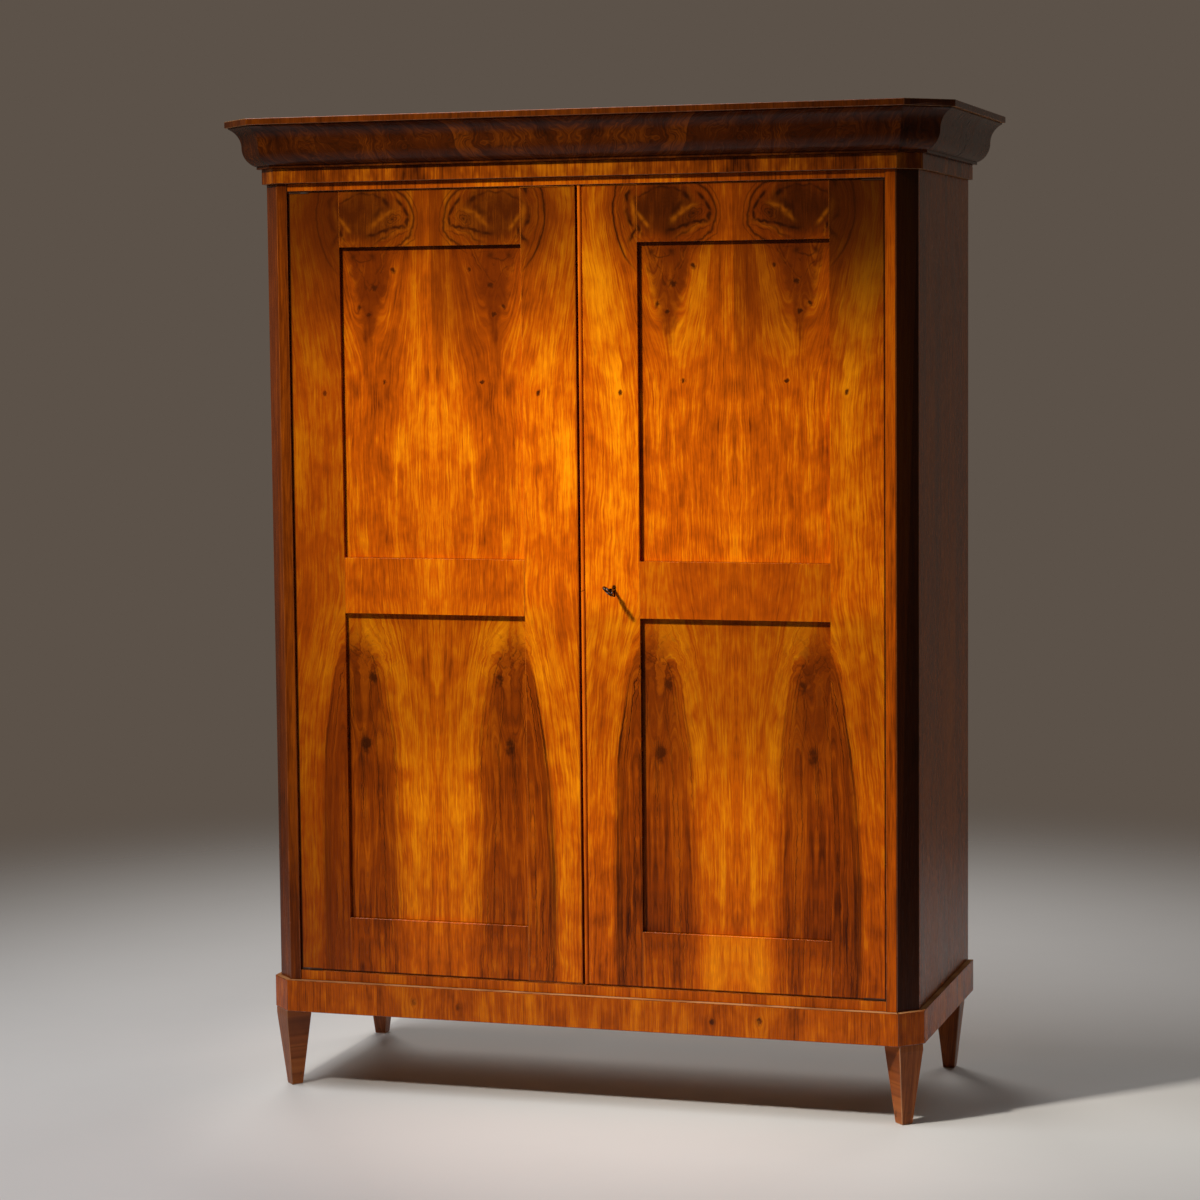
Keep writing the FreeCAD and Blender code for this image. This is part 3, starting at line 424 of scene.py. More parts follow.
CHAMFER_LEG = 0.036
chamfer_edge = side_high.x - post_low.y - CHAMFER_LEG


def chamfer_shade(x, y, z):
    """1 on a post's chamfer, where shade is painted into the veneer."""
    return (x.size() - y).rise(chamfer_edge - 0.0030, chamfer_edge - 0.0010)


# The left post takes a darker copy of the right post's palette: painted shade, where the light falls off to
# the left.
left_post_shaded_veneer = laid_veneer("left_post_shaded_veneer", offset=0.5, sheet=16.0, sheet_width=0.5, core=post_core,
                               curl=0.5, dark=tint(54, 19, 2), middle=tint(106, 43, 3),
                               light=tint(156, 73, 6))
# The right post's chamfer faces away from the light; shade is painted on it.
right_post_veneer = laid_veneer("right_post_veneer", offset=0.5, sheet=17.0, sheet_width=0.5, core=post_core,
                                curl=0.5, dark=tint(100, 38, 2), middle=tint(206, 92, 4),
                                light=tint(244, 134, 9), painted_shade=chamfer_shade)
dress(side_veneer, ["left_side", "right_side"], veneer_arris, width=0.0008)
dress(left_post_shaded_veneer, ["left_front_post"], veneer_arris, width=0.0010)
dress(right_post_veneer, ["right_front_post"], veneer_arris, width=0.0010)

back_low, back_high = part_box("back_boards")
BACK_BOARDS = 6
back_board_width = (back_high.x - back_low.x) / BACK_BOARDS
NAILED_TO = ("bottom_board", "shelf_2", "top_board")
nail_levels = [sum(corner.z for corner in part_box(board)) / 2 for board in NAILED_TO]


def nailed_backing(name):
    """Upright pine boards with two nails in each at every level that holds them; rust has stained the wood
    round each head, and more of it below than above."""
    material, tree, shader, (x, y, z) = new_finish(name, Specular_IOR_Level=0.14)
    wood = use(tree, aged_softwood, Across=x, Along=z, Depth=y, Board=back_board_width)
    count = x / back_board_width
    aside = ((count - count.math("FLOOR") - 0.5).size() - 0.33) * back_board_width
    above = z - nail_levels[0]
    for level in nail_levels[1:]:
        above = wire(tree, "Mix", {0: z.rise(level - 0.21, level - 0.20), 2: above, 3: z - level})
    far = (aside * aside + above * above).math("SQRT")
    outside = y.rise(back_high.y - 0.004, back_high.y - 0.002)
    head = far.rise(0.0040, 0.0032) * outside
    run = aside.bell(0.0035) * above.rise(0.004, -0.002) * above.rise(-0.060, -0.005)
    stain = (far.bell(0.008) * 0.7 + run * 0.5) * outside
    rust = noise(x * 600.0, z * 600.0, y, 2.0).rise(-0.5, 0.9)
    colour = blend(stain.ramp(0.0, 1.0), wood["Color"], tint(62, 36, 20))
    colour = blend(head, colour, blend(rust, tint(58, 42, 34), tint(104, 66, 44)))
    coat_with(tree, shader, colour, wood["Roughness"], wood["Height"] + head * 1.5, strength=0.25,
              distance=0.0006)
    return material


back_softwood = nailed_backing("softwood_back")
crosswise_softwood = softwood_finish("softwood_crosswise", lambda x, y, z: (z + x, y, x - z))
SHELVING = ["bottom_board", "top_board", "shelf_1", "shelf_2", "shelf_3"]
dress(back_softwood, ["back_boards"], softwood_arris, width=0.0010)
dress(lengthwise_softwood, SHELVING, softwood_arris, width=0.0012)
dress(crosswise_softwood, ["shelf_bearers"], softwood_arris, width=0.0010)
dress(lengthwise_softwood, ["door_stops"], softwood_arris, width=0.0010)

# Threshold and head rails: the bars below and above the doors, tenoned into the posts and faced with short
# pieces of upright veneer. They were cut from offcuts, so each has another tone, and their glue lines show.
threshold_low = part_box("threshold_rail")[0]
VENEERED_DEPTH = 0.030


def rail_core(x, y, z):
    """1 on the rails behind the doors."""
    return y.rise(threshold_low.y + VENEERED_DEPTH, threshold_low.y + VENEERED_DEPTH + 0.001)


rail_veneer = laid_veneer("rail_veneer", offset=0.2, sheet=23.0, sheet_width=0.115, core=rail_core, curl=0.4)
dress(rail_veneer, ["threshold_rail", "head_rail"], veneer_arris, width=0.0010)

# The doors: frames of two stiles and three rails, tenoned together round two floating panels and faced with
# walnut crotch. Each door's two halves are one sheet opened like a book, so eyes, knots and dark hearts
# mirror. The doors swing on iron pivots in the rails above and below them.


def build_door_figure():
    """The lines of the crotch on one half of a door, and its marks, placed by their distance from the seam
    and their height. The grain runs up the door; it parts round an eye in the top rail as a stream parts
    round a post. Round the fork under it, and round a dark heart on the bottom rail, it parts as round
    sources: lines move by each source's width times the angle round it."""
    tree, given = pattern("door_figure", {"X": 0.0, "Z": 0.0, "Seam": 0.0},
                          ["Across", "Heart", "Olive", "Glow", "Mark", "Dusk", "Knot", "Band"])
    x, z, seam = given
    side = x - seam
    swirl = noise(side * 24.0, z * 20.0, 7.0, 2.0)
    fine_swirl = noise(side * 75.0, z * 60.0, 9.0, 2.0)
    curly = (side.size() - 0.150).bell(0.050) * (z - 0.895).bell(0.050)
    half = (side.size() + noise(side * 6.0, z * 3.0, 3.0, 1.0) * 0.005 + swirl * 0.0006
            + fine_swirl * curly * 0.009)
    drawn_half = half + swirl * 0.0024 + fine_swirl * 0.0018
    drawn_up = z + swirl * 0.0024 + fine_swirl * 0.0028

    def stroke(start, end, wide):
        """A soft brush stroke between two points, a bell across its line and a longer bell along it."""
        run, climb = end[0] - start[0], end[1] - start[1]
        long = math.hypot(run, climb)
        off, up = drawn_half - (start[0] + end[0]) / 2, drawn_up - (start[1] + end[1]) / 2
        ahead = (off * run + up * climb) / long
        aslant = (up * run - off * climb) / long
        return ahead.bell(long * 0.6) * aslant.bell(wide)

    def line(points, wide):
        """Strokes joined end to end through several points."""
        return strongest(*(stroke(start, end, wide) for start, end in zip(points, points[1:])))

    def arc(at_across, at_up, radius, wide):
        """A thin round line at a radius from a point."""
        off, up = drawn_half - at_across, drawn_up - at_up
        return ((off * off + up * up).math("SQRT") - radius).bell(wide)

    def chevrons(middle, steepness, level):
        """Lines that run down to a middle line and up again, as the grain does under a fork."""
        fall = z - (half - middle).size() * steepness
        return noise(fall * 95.0 + swirl * 1.8, half * 14.0 + fine_swirl * 0.5, level, 2.0).rise(0.1, 0.9)

    heart_across = 0.160
    aside = half - heart_across
    heart_shift = 0.0
    for source_up, source_wide in ((0.945, 0.036), (0.875, 0.036), (0.740, 0.020)):
        heart_shift = heart_shift + aside.math("ARCTAN2", z - source_up) * (-source_wide / math.pi)
    within = (aside + heart_shift) * aside.math("SIGN")
    fork, fork_shift = 0.130, 0.0
    for source_up, source_wide in ((1.500, 0.014), (1.570, 0.018), (1.640, 0.018)):
        fork_shift = fork_shift + (half - fork).math("ARCTAN2", source_up - z) * (-source_wide / math.pi)
    bent = (heart_shift * aside.size().rise(0.0, 0.045) * 0.75
            + fork_shift * (half - fork).size().rise(0.0, 0.035))
    from_seam = half.rise(-0.01, 0.075)
    ragged = noise((half + heart_shift) * 95.0, z * 2.4, 13.0, 3.0)
    inner = aside.rise(0.02, -0.04)
    soft = inner * 0.036 + 0.016
    heart = (ragged * 0.011 + inner * 0.011 - within).rise(0.0, soft)
    heart = heart * z.rise(0.97, 0.88) * (z.rise(0.24, 0.42) * 0.50 + 0.50)
    vein = noise(within * 190.0 + fine_swirl * 0.4, z * 2.2, 17.0, 2.0).rise(0.34, 0.62)
    veins = vein * heart * ((within + 0.014).bell(0.020) * 0.45 + 0.45)
    strand = noise(within * 260.0, z * 1.6, 19.0, 2.0).rise(-0.5, 0.5)
    outer = aside.rise(0.0, 0.05) * z.rise(0.93, 0.82)
    rim = (within + 0.007 + ragged * 0.0015).bell(0.0085) * strand * 0.8 * outer

    eye_across, eye_up, eye_wide, eye_tall = 0.132, 1.758, 0.076, 0.058
    eye_x = (half - eye_across) / eye_wide + swirl * 0.07
    eye_z = (z - eye_up) / eye_tall + fine_swirl * 0.06 + swirl * 0.06
    out = (eye_x * eye_x + eye_z * eye_z).math("SQRT")
    eye_shift = (eye_across - half) * 0.55 / (out * out).math("MAXIMUM", 1.0)
    tip, outside = half.rise(0.090, 0.060), half.rise(0.165, 0.190)
    broken = noise(side * 40.0, z * 34.0, 21.0, 2.0).rise(-0.8, 0.5)
    contour = noise(out * 20.0 + fine_swirl * 0.5, eye_z * 1.6 + eye_x, 37.0, 2.0).rise(0.25, 0.9)
    contour = contour * ((out - 1.15).bell(0.26) * 0.45 + out.rise(1.0, 0.7) * 0.22)
    from_pupil, over_pupil = drawn_half - 0.075, drawn_up - 1.749
    lengthwise, sidewise = from_pupil * 0.43 - over_pupil * 0.25, from_pupil * 0.5 + over_pupil * 0.87
    ring = (lengthwise * lengthwise + sidewise * sidewise).math("SQRT")
    pupil_rings = (ring * 1500.0 + swirl * 1.2 + fine_swirl * 0.9).math("SINE").rise(0.1, 0.95)
    pupil_rings = pupil_rings * ring.bell(0.013)
    dark_strokes = [  # start, end, width and strength
        ((0.078, 1.748), (0.072, 1.750), 0.0030, 0.9), ((0.098, 1.791), (0.086, 1.779), 0.0048, 1.0),
        ((0.120, 1.755), (0.098, 1.772), 0.0060, 0.6), ((0.188, 1.730), (0.184, 1.716), 0.0040, 0.9),
        ((0.188, 1.723), (0.204, 1.700), 0.0045, 0.85), ((0.084, 1.722), (0.056, 1.731), 0.0015, 0.5),
        ((0.079, 1.712), (0.042, 1.728), 0.0015, 0.5), ((0.113, 1.702), (0.080, 1.723), 0.0030, 0.6),
        ((0.164, 1.682), (0.163, 1.672), 0.0060, 0.6), ((0.122, 1.682), (0.124, 1.672), 0.0060, 0.6)]
    eye_marks = strongest(
        contour, pupil_rings * 0.6,
        *(stroke(start, end, wide) * strength for start, end, wide, strength in dark_strokes),
        line([(0.066, 1.789), (0.052, 1.775), (0.040, 1.754), (0.046, 1.736)], 0.0038),
        line([(0.046, 1.736), (0.081, 1.732), (0.114, 1.723), (0.132, 1.720)], 0.0036),
        line([(0.190, 1.782), (0.159, 1.800), (0.122, 1.800), (0.100, 1.792)], 0.0024) * 0.65,
        arc(0.0893, 1.7519, 0.0595, 0.0030) * tip * 0.7, arc(0.0893, 1.7519, 0.0690, 0.0012) * tip * 0.45,
        arc(0.1445, 1.7669, 0.0667, 0.0044) * outside * z.rise(1.695, 1.720) * broken,
        arc(0.0800, 1.7575, 0.1585, 0.0022) * outside * z.rise(1.62, 1.69) * 0.8,
        arc(0.0800, 1.7575, 0.1470, 0.0012) * outside * z.rise(1.64, 1.70) * 0.4,
        arc(0.1433, 1.6899, 0.0239, 0.0018) * z.rise(1.684, 1.676) * 0.5)
    glow = strongest(
        line([(0.124, 1.737), (0.111, 1.748), (0.096, 1.759), (0.072, 1.767)], 0.0046) * 0.5,
        stroke((0.198, 1.774), (0.196, 1.740), 0.0036) * 0.9,
        line([(0.188, 1.752), (0.177, 1.738), (0.169, 1.727)], 0.0036) * 0.6,
        stroke((0.182, 1.703), (0.181, 1.721), 0.0018) * 0.6,
        stroke((0.097, 1.714), (0.046, 1.734), 0.0042) * 0.35)

    wedge_slope, wedge_tip = 0.27, 1.480
    wedge = z * wedge_slope - wedge_tip * wedge_slope - (half - fork).size()
    wedge = (wedge + fine_swirl * 0.004 + swirl * 0.004).rise(-0.006, 0.016) * z.rise(1.74, 1.68)
    turned = side.rise(-0.0012, 0.0012) * z.rise(1.38, 1.60) * half.rise(0.19, 0.10)
    folds = strongest(chevrons(fork, 1.9, 27.0) * wedge * 0.4, chevrons(0.148, 1.3, 29.0) * curly * 0.6)

    places = [(0.081, 1.651, 0.0048, 1.2), (0.122, 1.618, 0.0058, 1.3), (0.149, 1.577, 0.0052, 1.5),
              (0.130, 1.563, 0.0050, 1.1), (0.103, 1.431, 0.0034, 1.1), (0.225, 1.410, 0.0038, 1.3),
              (0.135, 0.841, 0.0084, 1.8), (0.153, 0.708, 0.0112, 1.8)]
    rough_edge = noise(side * 240.0, z * 180.0, 33.0, 2.0) * 0.0016
    rough_half = drawn_half + rough_edge
    parted, knot = knots(tree, rough_half, drawn_up - rough_edge, places)
    across = half + swirl * 0.0012 + (parted - rough_half)
    cell = wire(tree, "CombineXYZ", [half * 13.0, z * 11.0, seam])
    pins = wire(tree, "TexVoronoi", {"Vector": cell, "Scale": 1.0}, output="Distance").socket.node
    chosen = wire(tree, "SeparateColor", [Field(tree, pins.outputs["Color"])]).rise(0.70, 0.95)
    pin = Field(tree, pins.outputs["Distance"]).rise(0.034, 0.010) * chosen
    spot = (knot * (fine_swirl * 0.40 + 0.80)).rise(0.10, 0.62)
    dusk = strongest(wedge, turned * 0.7, out.rise(2.5, 0.9) * 0.85, knot.rise(0.0, 0.25) * 0.6)
    band = strongest(half.bell(0.016) * (z.rise(1.0, 0.8) * 0.3 + 0.7), half.bell(0.030) * 0.6,
                     half.bell(0.075) * z.rise(1.0, 0.85) * 0.42)
    give_out(tree, Across=across + (bent + eye_shift) * from_seam, Heart=heart,
             Olive=(out + swirl * 0.10).rise(1.15, 0.60), Glow=glow,
             Mark=strongest(eye_marks, veins, rim, folds), Dusk=dusk, Knot=strongest(spot, pin * 0.7),
             Band=band)
    return tree


door_figure = build_door_figure()
door_low, door_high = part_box("left_hinge_stile")
panel_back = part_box("left_upper_panel")[1].y


def door_veneer(name, seam, sheet, tone, upper, lower, panel=None, keyhole=None):
    """One kind of door piece. Amber walnut takes the colours of heart, eye and knots from the figure; the
    back of the door is plain. Tone shifts the whole piece a little, as sheets of veneer differ. Painted shade
    of light falling off away from the middle of the doors darkens the wood upwards by the share upper, and
    under the lock rail by lower. Painted shadow darkens the doors' outer edges and the gap by the meeting
    bead; old wax and painted shade darken a panel within a few millimetres of its edges; the keyhole is a
    painted dark spot of shade on the wood above the key."""
    material, tree, shader, (x, y, z) = new_finish(name, Specular_IOR_Level=0.14)
    figure = use(tree, door_figure, X=x, Z=z, Seam=seam)
    shown = y.rise(panel_back - 0.002, panel_back - 0.004)
    heart, olive = figure["Heart"] * shown * 0.9, figure["Olive"] * shown * 0.95
    dusk = figure["Dusk"] * shown * 0.9
    band_middle, band_light, dusk_middle, dusk_light = (
        tint(216, 101, 3), tint(252, 158, 10), tint(112, 42, 2), tint(172, 76, 4))
    middle = blend(dusk, blend(figure["Band"] * 0.6, tint(192, 84, 2), band_middle), dusk_middle)
    light = blend(dusk, blend(figure["Band"], tint(246, 146, 7), band_light), dusk_light)
    heart_tones = tint(56, 18, 2), tint(130, 51, 2), tint(182, 82, 4)
    olive_tones = tint(34, 11, 1), tint(80, 31, 2), tint(138, 66, 5)
    dark, middle, light = (
        blend(olive, blend(heart, plain, in_heart), in_eye)
        for plain, in_heart, in_eye in zip((tint(98, 34, 2), middle, light), heart_tones, olive_tones))
    grain = use(tree, walnut_grain, Across=figure["Across"] + x * 0.01, Along=z, Sheet=sheet,
                Streaks=heart * 1.1 + 0.45, Curl=1.0 - heart * 0.4, Dark=dark, Middle=middle, Light=light)
    colour = blend(figure["Glow"] * shown * 0.75, grain["Color"], tint(216, 116, 10))
    colour = blend(figure["Mark"].ramp(0.0, 0.8) * shown * 0.92, colour, tint(24, 8, 2))
    colour = blend(figure["Knot"] * shown * 0.85, colour, tint(36, 13, 3))
    colour = blend(tone, colour, tint(112, 42, 3))
    # Painted shade: the light falls off above the middle of the doors and under the lock rail.
    falloff_shade = z.rise(1.36, 1.72) * upper + z.rise(1.02, 0.955) * z.rise(0.55, 0.80) * lower
    colour = blend(falloff_shade * shown, colour, tint(60, 22, 2))
    # Painted shadow in the gaps round the doors: along their hinge edges, top and bottom, and by the meeting
    # bead.
    gap_shadow = strongest(x.size().rise(-door_low.x - 0.0030, -door_low.x - 0.0012),
                          z.rise(door_high.z - 0.0030, door_high.z - 0.0012),
                          z.rise(door_low.z + 0.0030, door_low.z + 0.0012), (x + 0.0045).bell(0.0032))
    colour = blend(gap_shadow * shown * 0.85, colour, tint(22, 9, 2))
    if panel:
        (low_x, _, low_z), (high_x, _, high_z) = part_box(panel)
        inward_x = (x - (low_x + high_x) / 2).size() - ((high_x - low_x) / 2 - 0.008)
        inward_z = (z - (low_z + high_z) / 2).size() - ((high_z - low_z) / 2 - 0.008)
        # Painted shade in the panel recess, with some old wax, within a few millimetres of the panel's edges.
        wax_and_recess_shade = strongest(inward_x, inward_z).rise(-0.0025, -0.0002)
        colour = blend(wax_and_recess_shade * shown * 0.5, colour, tint(30, 12, 3))
    if keyhole:
        # The keyhole is painted: a dark spot of shade on the stile above the middle of the key.
        keyhole_shade = ((x - keyhole[0]) * 0.8).bell(0.0040) * (z - keyhole[1]).bell(0.0062)
        colour = blend(keyhole_shade.rise(0.25, 0.75) * 0.95, colour, tint(16, 7, 3))
    coat_with(tree, shader, colour, grain["Roughness"], grain["Height"] - figure["Knot"], strength=0.05,
              distance=0.0005)
    return material


left_seam = sum(corner.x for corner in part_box("left_upper_panel")) / 2
right_seam = sum(corner.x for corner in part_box("right_upper_panel")) / 2
door_arris = worn_arris("door_arris", (200, 104, 12), rough=0.24)
key_low, key_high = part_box("key")
key_spot = ((key_low.x + key_high.x) / 2, (key_low.z + key_high.z) / 2 + 0.004)
# The left hinge stile's large tone is painted shade, where the light falls off to the left.
DOOR_PIECES = {  # each one's sheet and tone, and how much painted shade darkens it upwards and below the lock rail
    "left_hinge_stile": (31.0, 0.54, 0.68, 0.0), "left_meeting_stile": (31.0, 0.0, 0.56, 0.20),
    "left_bottom_rail": (32.0, 0.0, 0.0, 0.0), "left_lock_rail": (32.0, 0.14, 0.0, 0.0),
    "left_top_rail": (32.0, 0.12, 0.40, 0.0), "left_lower_panel": (37.0, 0.0, 0.0, 0.36),
    "left_upper_panel": (37.0, 0.14, 0.33, 0.0), "right_hinge_stile": (41.0, 0.10, 0.85, 0.30),
    "right_meeting_stile": (41.0, 0.0, 0.34, 0.30), "right_bottom_rail": (42.0, 0.0, 0.0, 0.0),
    "right_lock_rail": (42.0, 0.40, 0.0, 0.0), "right_top_rail": (42.0, 0.08, 0.18, 0.0),
    "right_lower_panel": (47.0, 0.14, 0.0, 0.42), "right_upper_panel": (43.0, 0.0, 0.40, 0.0)}
for piece, (sheet, tone, upper, lower) in DOOR_PIECES.items():
    seam = left_seam if piece.startswith("left") else right_seam
    if piece.endswith("panel"):
        dress(door_veneer(f"{piece}_veneer", seam, sheet, tone, upper, lower, panel=piece), [piece])
    else:
        keyhole = key_spot if piece == "right_meeting_stile" else None
        frame_veneer = door_veneer(f"{piece}_veneer", seam, sheet, tone, upper, lower, keyhole=keyhole)
        dress(frame_veneer, [piece], door_arris, width=0.0006 if piece.endswith("rail") else 0.0008)

bead_finish, tree, shader, (x, y, z) = new_finish("bead_walnut", Specular_IOR_Level=0.14)
grain = use(tree, walnut_grain, Across=x + y, Along=z, Sheet=51.0, Streaks=0.7, Curl=0.4,
            Dark=tint(120, 46, 5), Middle=tint(190, 84, 6), Light=tint(226, 116, 14))
crack = (z - key_low.z - 0.006 - x * 0.5).bell(0.0009)
colour = blend(crack * 0.9, grain["Color"], tint(30, 12, 3))
coat_with(tree, shader, colour, grain["Roughness"], grain["Height"] - crack * 3.0, strength=0.15,
          distance=0.0005)
dress(bead_finish, ["meeting_bead"])

# Ironwork: forged pivot plates and sockets, the lock with its bolt and keeper, and the slide bolts of the
# left door. It is bare iron, browned with age. Screws hold lock and keeper on the backs of the doors.


def build_old_iron():
    """Forged iron: hammer marks and file scratches in relief, and brown rust in patches."""
    tree, given = pattern("old_iron", {"X": 0.0, "Y": 0.0, "Z": 0.0, "Rust": 0.5},
                          ["Color", "Roughness", "Height"])
    x, y, z, rust = given
    hammer = noise(x * 60.0, y * 60.0, z * 60.0, 2.0)
    scratch = noise(x * 220.0, y * 220.0, z * 1400.0, 1.0)
    patch = (noise(x * 45.0, y * 45.0, z * 45.0, 4.0) + rust * 2.0 - 1.0).rise(0.0, 0.9)
    colour = blend(hammer.rise(-0.8, 0.8), tint(60, 57, 54), tint(104, 100, 96))
    colour = blend(patch, colour, tint(74, 44, 28))
    give_out(tree, Color=colour, Roughness=patch * 0.3 + scratch * 0.05 + 0.36,
             Height=hammer * 0.6 + scratch * 0.25 + patch * 0.4)
    return tree


old_iron = build_old_iron()


def iron_finish(name, rust, metallic=0.9):
    """A bare iron surface with its own share of rust."""
    material, tree, shader, (x, y, z) = new_finish(name, Metallic=metallic)
    iron = use(tree, old_iron, X=x, Y=y, Z=z, Rust=rust)
    coat_with(tree, shader, iron["Color"], iron["Roughness"], iron["Height"], strength=0.3, distance=0.0006)
    return material


pivot_iron = iron_finish("pivot_iron", rust=1.0, metallic=0.3)
lock_iron = iron_finish("lock_iron", rust=0.45)
bolt_iron = iron_finish("bolt_iron", rust=0.2, metallic=0.7)
dress(pivot_iron, ["bottom_pivot_plates", "top_pivot_plates", "left_pivot_sockets", "right_pivot_sockets"])
dress(lock_iron, ["lock_case", "keeper_box", "bolt_guides"])
dress(bolt_iron, ["lock_bolt", "top_bolt", "bottom_bolt"])


def screw_heads(name, body, spots, seat, radius, proud):
    """Slotted screw heads on a plate's rear face, each spot (x, z, turn of the slot). Columns run across the
    slot and rows along it, on a disc whose half chord is the root of 1 less the square of the column. The
    height is proud times 1 less three quarters of the fourth power of the distance from the middle, less a
    step in the slot. Rows close round the underside, inside the plate."""
    column = np.array([-1.0, -0.85, -0.6, -0.38, -0.16, -0.16, 0.16, 0.16, 0.38, 0.6, 0.85, 1.0])
    slotted = np.array([0, 0, 0, 0, 0, 1, 1, 0, 0, 0, 0, 0])[:, None]
    row = np.array([-1.0, -1.0, -0.9, -0.6, -0.25, 0.25, 0.6, 0.9, 1.0, 1.0])
    under = np.array([1, 0, 0, 0, 0, 0, 0, 0, 0, 1])[None, :]
    chord = np.sqrt(1.0 - column**2)[:, None] * row[None, :]
    away = np.clip(column[:, None]**2 + chord**2, 0.0, 1.0)
    dome = proud * (1.0 - 0.75 * away**2) - 0.6 * proud * slotted
    height = np.maximum(dome, 0.0001) * (1 - under) - 0.0004 * under
    spots = np.array(spots)
    turn = spots[:, 2, None, None]
    side = column[None, :, None] * np.cos(turn) - chord[None] * np.sin(turn)
    up = column[None, :, None] * np.sin(turn) + chord[None] * np.cos(turn)
    points = np.stack([spots[:, 0, None, None] + radius * side, seat + height[None] + 0.0 * side,
                       spots[:, 1, None, None] + radius * up], -1)
    corner = np.arange(points[..., 0].size).reshape(points.shape[:3])
    beside = np.roll(corner, -1, 2)
    faces = np.stack([corner[:, :-1], corner[:, 1:], beside[:, 1:], beside[:, :-1]], -1).reshape(-1, 4)
    mesh = bpy.data.meshes.new(name)
    mesh.from_pydata(points.reshape(-1, 3).tolist(), [], faces.tolist())
    shell = bmesh.new()
    shell.from_mesh(mesh)
    bmesh.ops.remove_doubles(shell, verts=shell.verts, dist=1e-6)
    bmesh.ops.dissolve_degenerate(shell, edges=shell.edges, dist=1e-7)
    bmesh.ops.recalc_face_normals(shell, faces=shell.faces)
    shell.to_mesh(mesh)
    shell.free()
    heads = bpy.data.objects.new(name, mesh)
    bpy.context.scene.collection.objects.link(heads)
    heads.data.materials.append(bolt_iron)
    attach(heads, body)


case_low, case_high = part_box("lock_case")
keeper_low, keeper_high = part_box("keeper_box")
CASE_INSET, KEEPER_INSET = 0.007, 0.006
case_left, case_right = case_low.x + CASE_INSET, case_high.x - CASE_INSET
case_bottom, case_top = case_low.z + CASE_INSET, case_high.z - CASE_INSET
case_spots = [(case_left, case_bottom, 0.4), (case_left, case_top, 1.9), (case_right, case_bottom, 2.6),
              (case_right, case_top, 0.9)]
keeper_middle = (keeper_low.z + keeper_high.z) / 2
keeper_spots = [(keeper_low.x + KEEPER_INSET, keeper_middle, 0.2),
                (keeper_high.x - KEEPER_INSET, keeper_middle, 1.3)]
screw_heads("lock_screws", "right_door", case_spots, case_high.y, radius=0.0036, proud=0.0011)
screw_heads("keeper_screws", "left_door", keeper_spots, keeper_high.y, radius=0.0032, proud=0.0010)

# The key: a forged shank with a bit and an oval ring bow, dark in some patches and rubbed bright by hands in
# others.
# It is loose: its hollow shank stands over a pin in the lock and turns there.
key_iron, tree, shader, (x, y, z) = new_finish("key_iron", Metallic=1.0)
iron = use(tree, old_iron, X=x, Y=y, Z=z, Rust=0.15)
handled = noise(x * 160.0, y * 160.0, z * 160.0, 2.0).rise(0.1, 0.9)
colour = blend(handled, tint(70, 65, 61), tint(214, 206, 196))
coat_with(tree, shader, colour, iron["Roughness"] - 0.12, iron["Height"], strength=0.2, distance=0.0004)
dress(key_iron, ["key"])

# The frieze: a plain band of softwood round the carcase, under the cornice. It is mitred at the chamfers and
# veneered upright in short sheets.
# Its palette is darker than the doors': painted shade, where the light falls off towards the top.
frieze_veneer = laid_veneer("frieze_veneer", offset=0.65, sheet=61.0, sheet_width=0.135,
                            core=core_behind("frieze_front", "frieze_right"), curl=1.7,
                            dark=tint(64, 23, 2), middle=tint(146, 64, 4), light=tint(216, 118, 9))
FRIEZE_BOARDS = ["frieze_front", "frieze_left", "frieze_right", "frieze_corners"]
dress(frieze_veneer, FRIEZE_BOARDS, veneer_arris, width=0.0008)

# The cornice: an ogee moulding run in softwood and veneered across with burr walnut in short sheets, mitred
# at the chamfers; a softwood rail ties its ends behind. Its dark palette is partly a darker burr and partly
# painted shade on the profile, which faces down and away from the light.
cornice_finish, tree, shader, (x, y, z) = new_finish("cornice_burr", Specular_IOR_Level=0.14)
run = x.size() + y
BURR_SHEET, BURR_OFFSET = 0.145, 0.3
count = run / BURR_SHEET + BURR_OFFSET
number = count.math("FLOOR")
joint = (count - number - 0.5).size().rise(0.494, 0.5)
turmoil = noise(run * 11.0, z * 13.0, number, 3.0)
small_turmoil = noise(run * 45.0, z * 40.0, number + 4.0, 2.0)
burr = use(tree, walnut_grain, Across=run + turmoil * 0.034 + small_turmoil * 0.004,
           Along=z + small_turmoil * 0.01, Sheet=number * 1.3 + 71.0, Streaks=0.6, Curl=0.8,
           Dark=tint(26, 8, 1), Middle=tint(72, 28, 3), Light=tint(128, 60, 6))
rings = (turmoil * 3.2).math("SINE").bell(0.22)
colour = blend(rings * 0.45, burr["Color"], tint(40, 15, 3))
colour = blend(joint * 0.5, colour, tint(40, 17, 5))
coat_with(tree, shader, colour, burr["Roughness"], burr["Height"] - joint, strength=0.12, distance=0.0005)
dress(cornice_finish, ["cornice_front", "cornice_left", "cornice_right", "cornice_corners"])
dress(lengthwise_softwood, ["cornice_back_rail"], softwood_arris, width=0.001)

# The top board: a thin softwood slab that lies on the cornice and closes it, veneered on its edge and left
# plain and dusty on top.
slab_low, slab_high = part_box("cornice_top_board")


def slab_core(x, y, z):
    """1 on the top and underside of the slab, 0 on its veneered edge."""
    above = z.rise(slab_high.z - 0.0012, slab_high.z - 0.0009)
    return strongest(above, z.rise(slab_low.z + 0.0004, slab_low.z + 0.0001))


slab_veneer = laid_veneer("slab_veneer", offset=0.1, sheet=81.0, sheet_width=0.22, core=slab_core, curl=0.4,
                          dark=tint(44, 16, 2), middle=tint(98, 42, 4), light=tint(146, 72, 8),
                          inside=lambda x, y, z: (y, x, z))
dress(slab_veneer, ["cornice_top_board"], veneer_arris, width=0.0010)

# The studio: a round pale floor that fades into the background, a soft lamp high on the left, one above
# the floor and two behind, so that every side shows. The camera stands where the photographer stood.


